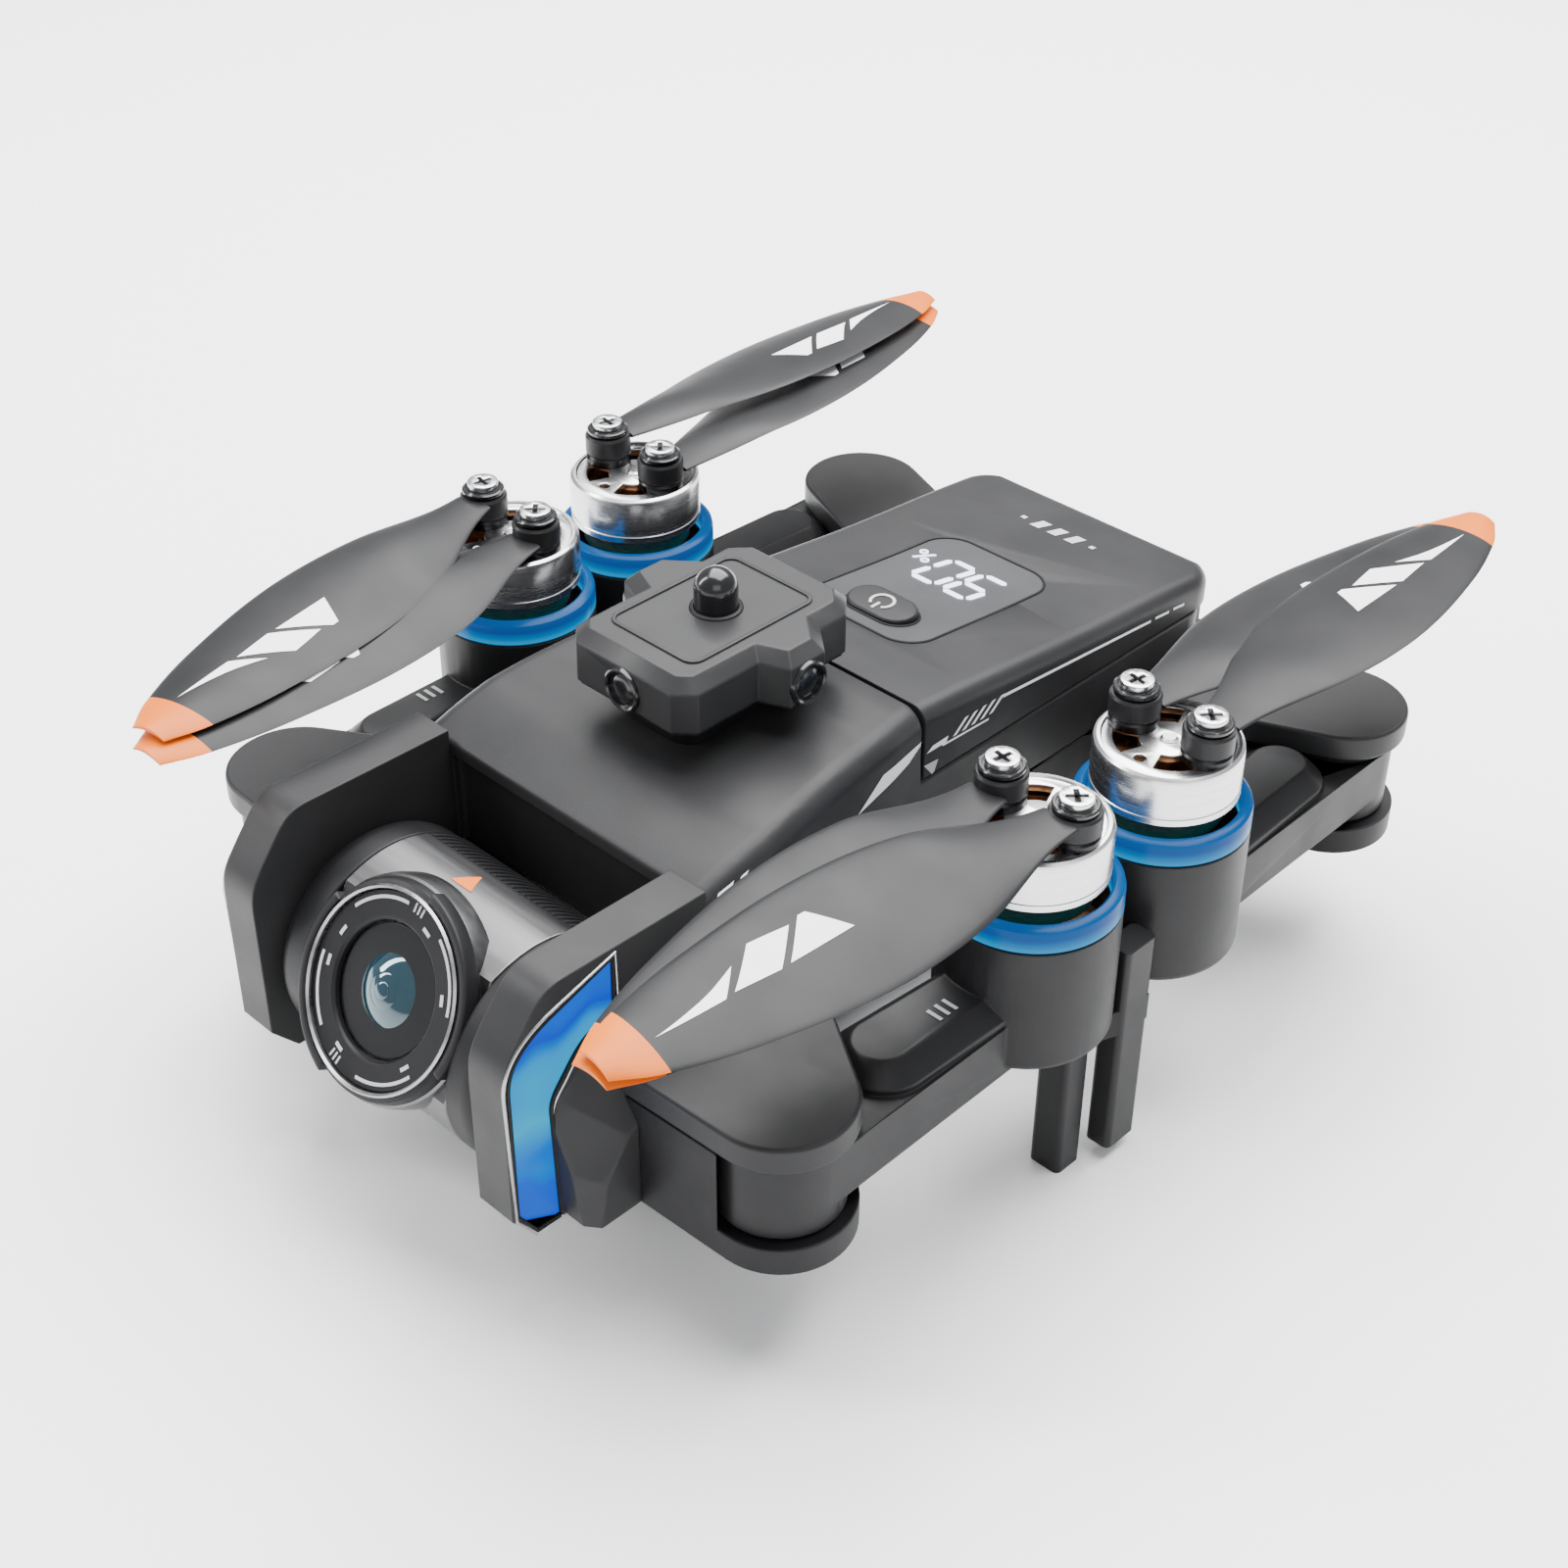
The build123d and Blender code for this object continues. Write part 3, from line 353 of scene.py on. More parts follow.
# %% [markdown]
# ## Shells, arms and other moulded parts
# The CAD shapes of the shells and arms are right, but every edge is knife-sharp. The real
# mouldings have small radii that catch the light. Each part is copied, its triangles are
# merged into whole faces, and a Bevel modifier rounds every edge that turns by more than
# a limit. The copy then stands for the CAD part. A radius wider than the strip beside it
# folds the mesh over itself, so each part has a radius that stays on its CAD surface, and
# the landing legs, whose seams are too narrow for one, keep their edges.

# %% Rounded copies of the CAD mouldings
MERGE_DISTANCE = 2e-6           # metres between points that are one
FLAT_LIMIT = radians(0.8)       # faces closer in angle than this are one face


def softened(node, body, material, width, limit=34, segments=3):
    """Copy of a CAD part with rounded edges."""
    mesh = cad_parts[node].data.copy()
    mesh.name = f"{node}_moulding"
    work = bmesh.new()
    work.from_mesh(mesh)
    bmesh.ops.remove_doubles(work, verts=work.verts, dist=MERGE_DISTANCE)
    bmesh.ops.dissolve_degenerate(work, dist=MERGE_DISTANCE, edges=work.edges)
    bmesh.ops.dissolve_limit(work, angle_limit=FLAT_LIMIT, verts=work.verts, edges=work.edges)
    work.to_mesh(mesh)
    work.free()
    mesh.shade_smooth()
    mesh.set_sharp_from_angle(angle=radians(limit))
    piece = bpy.data.objects.new(f"{node}_moulding", mesh)
    bpy.context.collection.objects.link(piece)
    if width:
        round_over = piece.modifiers.new("rounded_edges", "BEVEL")
        round_over.width = width * MM
        round_over.segments = segments
        round_over.limit_method = "ANGLE"
        round_over.angle_limit = radians(limit)
        round_over.use_clamp_overlap = False
        round_over.harden_normals = True
    return finish_piece(piece, body, material, [node])


softened("upper_shell", "fuselage", shell_grey, 0.5)
softened("lower_shell", "fuselage", under_black, 0.2)
for side_name in ("left", "right"):
    softened(f"nose_fairing_{side_name}", "fuselage", shell_grey, 0.12)
    softened(f"landing_leg_{side_name}", f"arm_front_{side_name}", arm_black, 0.0)
softened("battery_case", "battery", shell_grey, 0.15)
softened("module_base", "fuselage", under_black, 0.1)
softened("module_cover", "fuselage", cover_grey, 0.18)
softened("camera_cheeks", "camera", under_black, 0.3)
for corner in CORNERS:
    softened(f"arm_{corner}", f"arm_{corner}", arm_black, 0.2)
print("mouldings rounded")


# %% [markdown]
# ## Parts that stay as they are
# Pins, boards, cells and sensor windows have plain real shapes. The CAD nodes stay, and only
# get a better finish.

# %% Finishes on CAD nodes
kept_finishes = {"case_screws": screw_steel, "hinge_pins": screw_steel, "main_board": board_green,
                 "image_sensor": board_green, "battery_cells": cell_foil, "flow_sensor": gloss_black,
                 "charge_socket": screw_steel, "module_eyes": gloss_black}
for corner in CORNERS:
    kept_finishes[f"stator_{corner}"] = copper_wire
for node, finish in kept_finishes.items():
    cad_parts[node].data.materials.clear()
    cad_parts[node].data.materials.append(finish)
print("kept nodes:", len(kept_finishes))


# %% [markdown]
# ## Propeller blades
# A folded blade is a thin, gently twisted wing: thick and steep near its root, thin and flat
# at its tip. Its outline follows two smooth edges, so a function gives the place of any
# point on it from two numbers, one along the blade and one across it. The same function
# also carries the painted marks, which then follow the twist exactly.

# %% The blade's shape
BLADE_LENGTH = 65.0
POST_OFFSET = 5.3
LEADING = [(0.0, 2.4), (7.0, 3.4), (20.0, 7.2), (34.0, 8.6), (50.0, 7.0), (60.5, 4.4), (65.0, 2.2)]
TRAILING = [(0.0, 2.4), (7.0, 3.8), (20.0, 8.0), (34.0, 9.0), (50.0, 7.2), (60.0, 4.8), (65.0, 2.6)]
MOTOR_PLACES = {"front_left": (45.0, -11.6), "front_right": (-45.0, -11.6),
                "rear_left": (46.0, 11.6), "rear_right": (-46.0, 11.6)}
FOLDED_LEAN = {"front_left": (6.0, -3.0), "front_right": (14.0, 6.0),
               "rear_left": (3.5, -4.5), "rear_right": (0.5, -8.0)}
OUTBOARD_PITCH = {"front_left": -13.0, "front_right": 5.0, "rear_left": 5.0, "rear_right": -13.0}
BOSS_Z = 53.1
BLADE_RISE = {"outer": 2.3, "inner": 0.8}
PLATE_HALF = 0.42
CAMBER = 0.7


def half_chord(stations, along):
    """Smooth half width of the blade at a distance from its pivot."""
    for (a, ha), (b, hb) in zip(stations, stations[1:]):
        if along <= b:
            t = (along - a) / (b - a)
            i = stations.index((a, ha))
            before = stations[i - 1] if i else (a, ha)
            after = stations[i + 2] if i + 2 < len(stations) else (b, hb)
            slope_a = (hb - before[1]) / (b - before[0])
            slope_b = (after[1] - ha) / (after[0] - a)
            width = b - a
            return (ha * (2 * t ** 3 - 3 * t ** 2 + 1) + slope_a * width * (t ** 3 - 2 * t ** 2 + t)
                    + hb * (3 * t ** 2 - 2 * t ** 3) + slope_b * width * (t ** 3 - t ** 2))
    return stations[-1][1]


def blade_frame(corner, role):
    """Pivot, direction of the blade and direction of its outboard edge, in the row frame."""
    side, facing = CORNERS[corner]
    lean = FOLDED_LEAN[corner][0 if role == "outer" else 1]
    place = MOTOR_PLACES[corner]
    outward = side if role == "outer" else -side
    angle = radians(facing * (90 + lean) if side > 0 else 180 - facing * (90 + lean))
    along = Vector((cos(angle), sin(angle), 0))
    across = Vector((-along.y, along.x, 0))
    if across.x * side < 0:
        across = -across
    return Vector((place[0] + outward * POST_OFFSET, place[1], BOSS_Z)), along, across


def blade_point(corner, role, u, v, lift=0.0):
    """Point of the blade: u from 0 at the root to 1 at the tip, v from -1 inboard to +1 outboard."""
    pivot, along, across = blade_frame(corner, role)
    s = u * BLADE_LENGTH
    half = half_chord(LEADING if v > 0 else TRAILING, s)
    x = v * half
    ease = min(1.0, max(0.0, (s - 4) / 14))
    ease = ease * ease * (3 - 2 * ease)
    pitch = radians(OUTBOARD_PITCH[corner]) * ease * (1 - 0.55 * u)
    bow = CAMBER * ease * (1 - v * v)
    z = BLADE_RISE[role] + x * sin(pitch) + bow + lift
    return pivot + along * s + across * (x * cos(pitch)) + Vector((0, 0, z))


def blade_skin(corner, role):
    """Closed twisted blade with thin edges, and orange faces at the tip."""
    rows, columns = 56, 14
    points, faces, tips = [], [], []
    for upper in (1, -1):
        for i in range(rows + 1):
            u = 0.035 + (1 - 0.035) * i / rows
            for k in range(columns + 1):
                v = -cos(pi * k / columns)
                thick = PLATE_HALF * sqrt(max(0.0, 1 - v * v)) * (1.25 - 0.7 * u)
                points.append(blade_point(corner, role, u, v, upper * thick))
    size = (rows + 1) * (columns + 1)
    for layer in (0, 1):
        for i in range(rows):
            for k in range(columns):
                a = layer * size + i * (columns + 1) + k
                b = a + columns + 1
                faces.append((a, b, b + 1, a + 1) if layer else (a, a + 1, b + 1, b))
                tips.append(i / rows > 0.905)
    for k in range(columns):
        for start in (0, rows * (columns + 1)):
            a = start + k
            faces.append((a, a + 1, size + a + 1, size + a))
            tips.append(start > 0)
    piece = mesh_from(f"blade_skin_{corner}_{role}", points, faces)
    return piece, tips


def blade_boss(corner, role):
    """Turned eye at the blade's root, with a sunk rim for its screw."""
    pivot = blade_frame(corner, role)[0]
    profile = [(1.9, 0.0), (3.0, 0.0), (3.15, 0.2), (3.15, 2.5), (2.95, 2.8), (2.7, 2.85), (2.6, 2.6),
               (1.9, 2.6),
               (1.9, 0.0)]
    return lathe(f"blade_boss_{corner}_{role}", [(r, pivot.z + h) for r, h in profile], (pivot.x, pivot.y),
                 steps=40)


for corner in CORNERS:
    for role in ("outer", "inner"):
        node = f"blade_{corner}_{role}"
        skin, tips = blade_skin(corner, role)
        skin.data.materials.append(blade_grey)
        skin.data.materials.append(tip_orange)
        for face, is_tip in zip(skin.data.polygons, tips):
            face.material_index = 1 if is_tip else 0
        tidy_normals(skin, 40)
        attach(skin, node)
        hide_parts(node)
        finish_piece(blade_boss(corner, role), node, blade_grey)
print("blades made")


# %% [markdown]
# ### Marks on the blades
# Three white marks run towards each tip: a triangle, a slanted bar and a long tapering bar.
# Each one is a patch of quads laid on the blade's own surface, a hair above it, so it bends
# with the blade.

# %% Patches on a blade
BLADE_MARKS = [((0.500, 0.05), (0.545, -0.46), (0.560, -0.46), (0.635, 0.10)),
               ((0.585, -0.40), (0.665, -0.48), (0.745, 0.10), (0.655, 0.12)),
               ((0.715, -0.30), (0.780, -0.08), (0.900, 0.20), (0.765, 0.14))]
MARK_LIFT = 0.05


def surface_patch(name, corner, role, outline, steps=10):
    """Four-sided patch laid on a blade's top."""
    points, faces = [], []
    (a, b, c, d) = outline
    for i in range(steps + 1):
        s = i / steps
        left = (a[0] + (d[0] - a[0]) * s, a[1] + (d[1] - a[1]) * s)
        right = (b[0] + (c[0] - b[0]) * s, b[1] + (c[1] - b[1]) * s)
        for k in range(steps + 1):
            t = k / steps
            u, v = left[0] + (right[0] - left[0]) * t, left[1] + (right[1] - left[1]) * t
            thick = PLATE_HALF * sqrt(max(0.0, 1 - v * v)) * (1.25 - 0.7 * u)
            points.append(blade_point(corner, role, u, v, thick + MARK_LIFT))
    for i in range(steps):
        for k in range(steps):
            q = i * (steps + 1) + k
            faces.append((q, q + 1, q + steps + 2, q + steps + 1))
    piece = mesh_from(name, points, faces)
    if piece.data.polygons[0].normal.z < 0:
        piece.data.flip_normals()
    return piece


for corner in CORNERS:
    for role in ("outer", "inner"):
        patches = [surface_patch(f"mark_{i}", corner, role, outline) for i, outline in enumerate(BLADE_MARKS)]
        work = bmesh.new()
        for patch in patches:
            work.from_mesh(patch.data)
            bpy.data.objects.remove(patch)
        mesh = bpy.data.meshes.new(f"blade_marks_{corner}_{role}")
        work.to_mesh(mesh)
        work.free()
        marks = bpy.data.objects.new(mesh.name, mesh)
        bpy.context.collection.objects.link(marks)
        finish_piece(marks, f"blade_{corner}_{role}", paint_white)
print("blade marks laid")


# %% [markdown]
# ## Motors
# Each motor is an outrunner: a turned aluminium bell spins round a fixed stator. The bell's
# top plate has a centre hole and four kidney-shaped windows that show the windings. A flat
# 2D curve with holes gives the plate in one go, and a lathe profile gives the skirt.

# %% Bells
BELL_RADIUS, BELL_BOTTOM, BELL_TOP = 9.0, 45.3, 52.0


def bell_loops(centre):
    """Outline and holes of the bell's top plate."""
    loops = [ring_points(8.4, 64, centre), ring_points(1.05, 20, centre)]
    for k in range(4):
        start = radians(45 + 90 * k - 24)
        inner, outer = 3.6, 6.6
        sweep = radians(48)
        band = arc_band(inner, outer, start, sweep, 12, centre)
        loops.append(band)
    return loops


def round_holes(centre):
    """Small round holes between the windows."""
    return [ring_points(0.75, 14, (centre[0], centre[1] + k * 5.6)) for k in (-1, 1)]


for corner, centre in MOTOR_PLACES.items():
    skirt_profile = [(8.2, BELL_TOP - 1.2), (8.2, BELL_BOTTOM + 0.1), (8.35, BELL_BOTTOM), (8.8, BELL_BOTTOM),
                     (9.0, BELL_BOTTOM + 0.2), (9.0, BELL_BOTTOM + 1.0), (8.9, BELL_BOTTOM + 1.1),
                     (8.9, BELL_BOTTOM + 1.3), (9.0, BELL_BOTTOM + 1.4), (9.0, BELL_TOP - 0.8),
                     (8.85, BELL_TOP - 0.3),
                     (8.5, BELL_TOP - 0.02), (8.1, BELL_TOP), (7.9, BELL_TOP - 0.25), (7.9, BELL_TOP - 1.2),
                     (8.2, BELL_TOP - 1.2)]
    skirt = lathe(f"bell_skirt_{corner}", skirt_profile, centre, steps=96)
    top = plate(f"bell_top_{corner}", bell_loops(centre) + round_holes(centre), BELL_TOP - 1.25, 1.0,
                bevel=0.12)
    shaft = lathe(f"bell_shaft_{corner}", [(0, 34.5), (1.0, 34.5), (1.0, 51.9), (0.8, 52.05), (0, 52.05)],
                  centre, steps=24)
    bell = join(f"bell_{corner}", [skirt, top, shaft])
    finish_piece(bell, f"rotor_{corner}", bell_silver, [f"motor_bell_{corner}"])
print("bells turned")


# %% [markdown]
# Windings fill the space under the windows. They are the same lump of wire, repeated round
# the stator, so Geometry Nodes places them: a Mesh Circle gives the points, and each point
# gets one coil, turned to face outwards.

# %% Geometry Nodes: things in a ring
def ring_tree(name, material):
    """Node group: one mesh repeated round a circle of a given radius, height and count."""
    tree = bpy.data.node_groups.new(name, "GeometryNodeTree")
    face = tree.interface
    face.new_socket(name="Geometry", in_out="OUTPUT", socket_type="NodeSocketGeometry")
    for label, kind in (("Item", "NodeSocketObject"), ("Count", "NodeSocketInt"),
                        ("Radius", "NodeSocketFloat"),
                        ("Centre", "NodeSocketVector"), ("First Angle", "NodeSocketFloat")):
        face.new_socket(name=label, in_out="INPUT", socket_type=kind)
    nodes, links = tree.nodes, tree.links
    given = nodes.new("NodeGroupInput")
    circle = nodes.new("GeometryNodeMeshCircle")
    links.new(given.outputs["Count"], circle.inputs["Vertices"])
    links.new(given.outputs["Radius"], circle.inputs["Radius"])
    item = nodes.new("GeometryNodeObjectInfo")
    links.new(given.outputs["Item"], item.inputs["Object"])
    place = nodes.new("GeometryNodeInstanceOnPoints")
    links.new(circle.outputs["Mesh"], place.inputs["Points"])
    links.new(item.outputs["Geometry"], place.inputs["Instance"])
    number = nodes.new("GeometryNodeInputIndex")
    share = nodes.new("ShaderNodeMath")
    share.operation = "DIVIDE"
    links.new(number.outputs[0], share.inputs[0])
    links.new(given.outputs["Count"], share.inputs[1])
    turn = nodes.new("ShaderNodeMath")
    turn.operation = "MULTIPLY"
    turn.inputs[1].default_value = 2 * pi
    links.new(share.outputs[0], turn.inputs[0])
    angle = nodes.new("ShaderNodeCombineXYZ")
    links.new(turn.outputs[0], angle.inputs["Z"])
    links.new(angle.outputs[0], place.inputs["Rotation"])
    whole_turn = nodes.new("ShaderNodeCombineXYZ")
    links.new(given.outputs["First Angle"], whole_turn.inputs["Z"])
    move = nodes.new("GeometryNodeTransform")
    links.new(place.outputs["Instances"], move.inputs["Geometry"])
    links.new(given.outputs["Centre"], move.inputs["Translation"])
    links.new(whole_turn.outputs[0], move.inputs["Rotation"])
    realize = nodes.new("GeometryNodeRealizeInstances")
    links.new(move.outputs["Geometry"], realize.inputs["Geometry"])
    colour = nodes.new("GeometryNodeSetMaterial")
    colour.inputs["Material"].default_value = material
    links.new(realize.outputs["Geometry"], colour.inputs["Geometry"])
    done = nodes.new("NodeGroupOutput")
    links.new(colour.outputs["Geometry"], done.inputs["Geometry"])
    return tree


def ring_of(name, tree, item, count, radius, centre, first_angle=0.0):
    """Runs a ring tree and bakes it to a plain mesh object."""
    host = bpy.data.objects.new(name + "_host", bpy.data.meshes.new(name + "_host"))
    bpy.context.collection.objects.link(host)
    modifier = host.modifiers.new("ring", "NODES")
    modifier.node_group = tree
    values = {"Item": item, "Count": count, "Radius": radius * MM,
              "Centre": tuple(c * MM for c in centre), "First Angle": first_angle}
    for socket in tree.interface.items_tree:
        if socket.in_out == "INPUT" and socket.name in values:
            modifier[socket.identifier] = values[socket.name]
    host.update_tag()
    graph = bpy.context.evaluated_depsgraph_get()
    mesh = bpy.data.meshes.new_from_object(host.evaluated_get(graph))
    mesh.name = name
    host.modifiers.remove(modifier)
    bpy.data.objects.remove(host)
    piece = bpy.data.objects.new(name, mesh)
    bpy.context.collection.objects.link(piece)
    return piece


winding_ring = ring_tree("ring_of_windings", copper_wire)
coil = lathe("one_coil", [(0, -1.3), (0.9, -1.2), (1.3, -0.6), (1.3, 0.6), (0.9, 1.2), (0, 1.3)], axis="x",
             steps=14)
for corner, centre in MOTOR_PLACES.items():
    coils = ring_of(f"windings_{corner}", winding_ring, coil, 9, 5.6, (centre[0], centre[1], 48.4))
    finish_piece(coils, f"arm_{corner}", copper_wire)
bpy.data.objects.remove(coil)
print("windings placed")


# %% [markdown]
# ## Blade posts and screws
# Two dark posts stand on each bell. A blade turns on each post and is held by a cross-head
# screw, which sits in a knurled ring. The cross recess is real geometry: the head is a flat
# plate with a cross-shaped hole over the ring's gloss black floor, which is painted shade
# for the depth of the recess.

# %% Posts and screws
POST_TOP = 56.2


def cross_loop(centre, arm, half, turn):
    """Outline of a cross recess."""
    corner_points = [(arm, half), (half, half), (half, arm), (-half, arm), (-half, half), (-arm, half),
                     (-arm, -half), (-half, -half), (-half, -arm), (half, -arm), (half, -half), (arm, -half)]
    c, s = cos(turn), sin(turn)
    return [(centre[0] + x * c - y * s, centre[1] + x * s + y * c) for x, y in corner_points]


for corner, centre in MOTOR_PLACES.items():
    posts, heads, rings_and_shaded_floors = [], [], []
    for k in (-1, 1):
        spot = (centre[0] + k * POST_OFFSET, centre[1])
        posts.append(lathe(f"post_{k}", [(0, 51.6), (2.9, 51.6), (3.1, 51.8), (3.1, 52.7), (2.9, 52.98),
                                         (1.8, 53.0), (1.8, POST_TOP), (0, POST_TOP)], spot, steps=40))
        # The ring is a real black part; its centre, seen through the cross, is painted shade of the recess.
        rings_and_shaded_floors.append(lathe(f"ring_{k}", [(0, POST_TOP), (2.75, POST_TOP), (2.8, POST_TOP + 0.1),
                                          (2.8, POST_TOP + 0.45),
                                          (2.6, POST_TOP + 0.6), (2.3, POST_TOP + 0.6),
                                          (2.25, POST_TOP + 0.4),
                                          (0, POST_TOP + 0.4)], spot, steps=40))
        turn = 0.5 * k + 0.3
        heads.append(plate(f"head_{k}", [ring_points(2.05, 40, spot), cross_loop(spot, 1.25, 0.3, turn)],
                           POST_TOP + 0.4, 1.1, bevel=0.15))
    finish_piece(join(f"posts_{corner}", posts), f"rotor_{corner}", post_black,
                 [f"prop_hub_{corner}"])
    # Black rings, whose centres under the cross hole are painted shade of the recess.
    finish_piece(join(f"screw_rings_{corner}", rings_and_shaded_floors), f"rotor_{corner}", gloss_black)
    finish_piece(join(f"screws_{corner}", heads), f"rotor_{corner}", screw_steel,
                 [f"blade_screws_{corner}"])
print("posts and screws set")


# %% [markdown]
# ## Motor rings
# A translucent ring under each bell is lit from inside. Its bulge is brightest, nearly cyan,
# along the lower edge, and its flat top is a calmer blue. Emission in the shader does both:
# it gives the ring its own light and throws a little onto the pod below.

# %% Light rings
for corner, centre in MOTOR_PLACES.items():
    profile = [(9.3, 40.9), (10.6, 40.9), (10.8, 41.05), (10.8, 43.2), (10.65, 43.75), (10.2, 44.1),
               (9.6, 44.2),
               (9.3, 44.0), (9.3, 40.9)]
    ring = lathe(f"light_ring_{corner}", profile, centre, steps=96)
    finish_piece(ring, f"arm_{corner}", ring_blue, [f"led_ring_{corner}"])
print("rings lit")


# %% [markdown]
# ## The camera drum
# The camera is a grey drum that tilts between the two cheeks of the nose. Its lens looks
# forward and up. Everything round the lens is turned about the lens's own axis, so it is made
# flat, as if it lay on a table, and one matrix then stands it up in place.

# %% The lens's own frame
CAMERA_AXIS = (-58.3, 28.0)
CAMERA_TILT = radians(31)
BARREL_RADIUS = 14.2
LENS_FRAME = Matrix(((1, 0, 0, 0),
                     (0, sin(CAMERA_TILT), -cos(CAMERA_TILT), CAMERA_AXIS[0] * MM),
                     (0, cos(CAMERA_TILT), sin(CAMERA_TILT), CAMERA_AXIS[1] * MM),
                     (0, 0, 0, 1)))


def stand_up(piece):
    """Turns a piece made flat into the lens's frame."""
    piece.data.transform(LENS_FRAME)
    return piece


softened("camera_housing", "camera", barrel_grey, 0.25)
bezel = lathe("bezel",
              [(8.0, 12.4), (8.0, 13.5), (8.3, 13.8), (11.3, 13.9), (11.4, 13.6), (11.7, 13.6), (11.8, 13.9),
                        (12.0, 14.1), (12.6, 13.9), (12.85, 13.3), (12.9, 12.2), (13.0, 10.6), (12.6, 10.4),
               (8.0, 10.4),
                        (8.0, 12.4)], steps=128)
finish_piece(stand_up(bezel), "camera", under_black, ["camera_bezel"])
rim = lathe("bezel_rim",
            [(11.45, 13.7), (11.5, 14.35), (11.75, 14.6), (12.0, 14.35), (12.05, 13.7), (11.45, 13.7)],
            steps=128)
finish_piece(stand_up(rim), "camera", rim_grey)
collar = lathe("lens_collar",
               [(12.7, 9.6), (13.5, 9.6), (13.45, 11.4), (13.2, 12.6), (12.9, 12.8), (12.7, 12.6),
                               (12.7, 9.6)], steps=128)
finish_piece(stand_up(collar), "camera", barrel_grey)
guards = []
for start in (-20, 150):
    guards.append(plate(f"guard_{start}", [arc_band(12.3, 13.4, radians(start), radians(100), 40)], 12.2, 2.2,
                        bevel=0.3))
finish_piece(stand_up(join("lens_guards", guards)), "camera", arm_black)
print("bezel turned")


# %% [markdown]
# The face round the glass carries a generic scale: four light arcs, a few ticks and small
# bars. They are thin plates on the face.

# %% Scale on the lens face
scale_marks = []
for middle in (35, 118, 205, 298):
    scale_marks.append(plate(f"arc_{middle}", [arc_band(10.35, 10.75, radians(middle - 24), radians(48), 24)],
                             13.82, 0.12))
for middle in (84, 252):
    for k in (-1, 0, 1):
        turn = radians(middle + 3.6 * k)
        scale_marks.append(plate(f"tick_{middle}_{k}", [arc_band(10.0, 11.1, turn - 0.012, 0.024, 3)], 13.82,
                                 0.12))
for middle in (20, 70, 160, 185, 250, 320):
    scale_marks.append(plate(f"bar_{middle}", [arc_band(9.15, 9.6, radians(middle) - 0.07, 0.14, 5)], 13.80,
                             0.12))
finish_piece(stand_up(join("lens_scale", scale_marks)), "camera", paint_grey)


# %% [markdown]
# Behind the face, black steps lead down to the glass. The front element is one dark dome
# with a coating that tints its reflections, and smaller caps stand on it, because the real
# lens shows rings of light one inside the other.

# %% Lens
optic_profile = [(8.0, 12.9), (7.6, 12.9), (7.3, 12.3), (6.6, 12.1), (6.4, 11.6), (5.7, 11.4),
                 (5.5, 10.9), (4.8, 10.8), (4.6, 10.4), (3.9, 10.3), (3.8, 10.0), (0, 10.0)]
finish_piece(stand_up(lathe("lens_barrel_steps", optic_profile, steps=96)), "camera",
             gloss_black)
coated, coated_tree, coated_shader = new_material("coated_element")
coated_shader.inputs["Base Color"].default_value = (0.02, 0.035, 0.045, 1)
coated_shader.inputs["Roughness"].default_value = 0.04
coated_shader.inputs["Coat Weight"].default_value = 1.0
coated_shader.inputs["Coat Roughness"].default_value = 0.03
coated_shader.inputs["Coat Tint"].default_value = (0.55, 0.85, 0.95, 1)
coated_tree.links.new(ramp_node(coated_tree, noise_node(coated_tree, 90, 1),
                                [(0.3, (0.015, 0.03, 0.04)), (0.7, (0.03, 0.05, 0.055))]),
                      coated_shader.inputs["Base Color"])
elements = []
for radius, low, high in ((3.6, 13.05, 13.55), (2.3, 13.5, 14.0), (1.1, 13.95, 14.2)):
    dome = [(radius * sin(pi / 2 * (1 - k / 8)), low + (high - low) * sin(pi / 2 * k / 8)) for k in range(9)]
    elements.append(lathe(f"element_{radius}", [(0, low - 0.1), (radius, low - 0.1)] + dome, steps=64))
finish_piece(stand_up(join("lens_elements", elements)), "camera", coated)

GLASS_RADIUS, GLASS_EDGE, GLASS_RISE, GLASS_BACK = 5.4, 11.3, 2.6, 11.1
front_dome = [(GLASS_RADIUS * cos(pi / 2 * k / 12), GLASS_EDGE + GLASS_RISE * sin(pi / 2 * k / 12))
              for k in range(13)]
front_step = [(GLASS_RADIUS, GLASS_EDGE), (GLASS_RADIUS, GLASS_BACK), (0, GLASS_BACK)]
glass = lathe("front_element", front_step[::-1] + front_dome, steps=96)
finish_piece(stand_up(glass), "camera", coated, ["camera_lens"])
print("lens built")


# %% [markdown]
# Fine ribs run round the back of the drum so that a finger can turn it. One rib is an arc of
# thin wire. Geometry Nodes repeats it along a line across the drum.

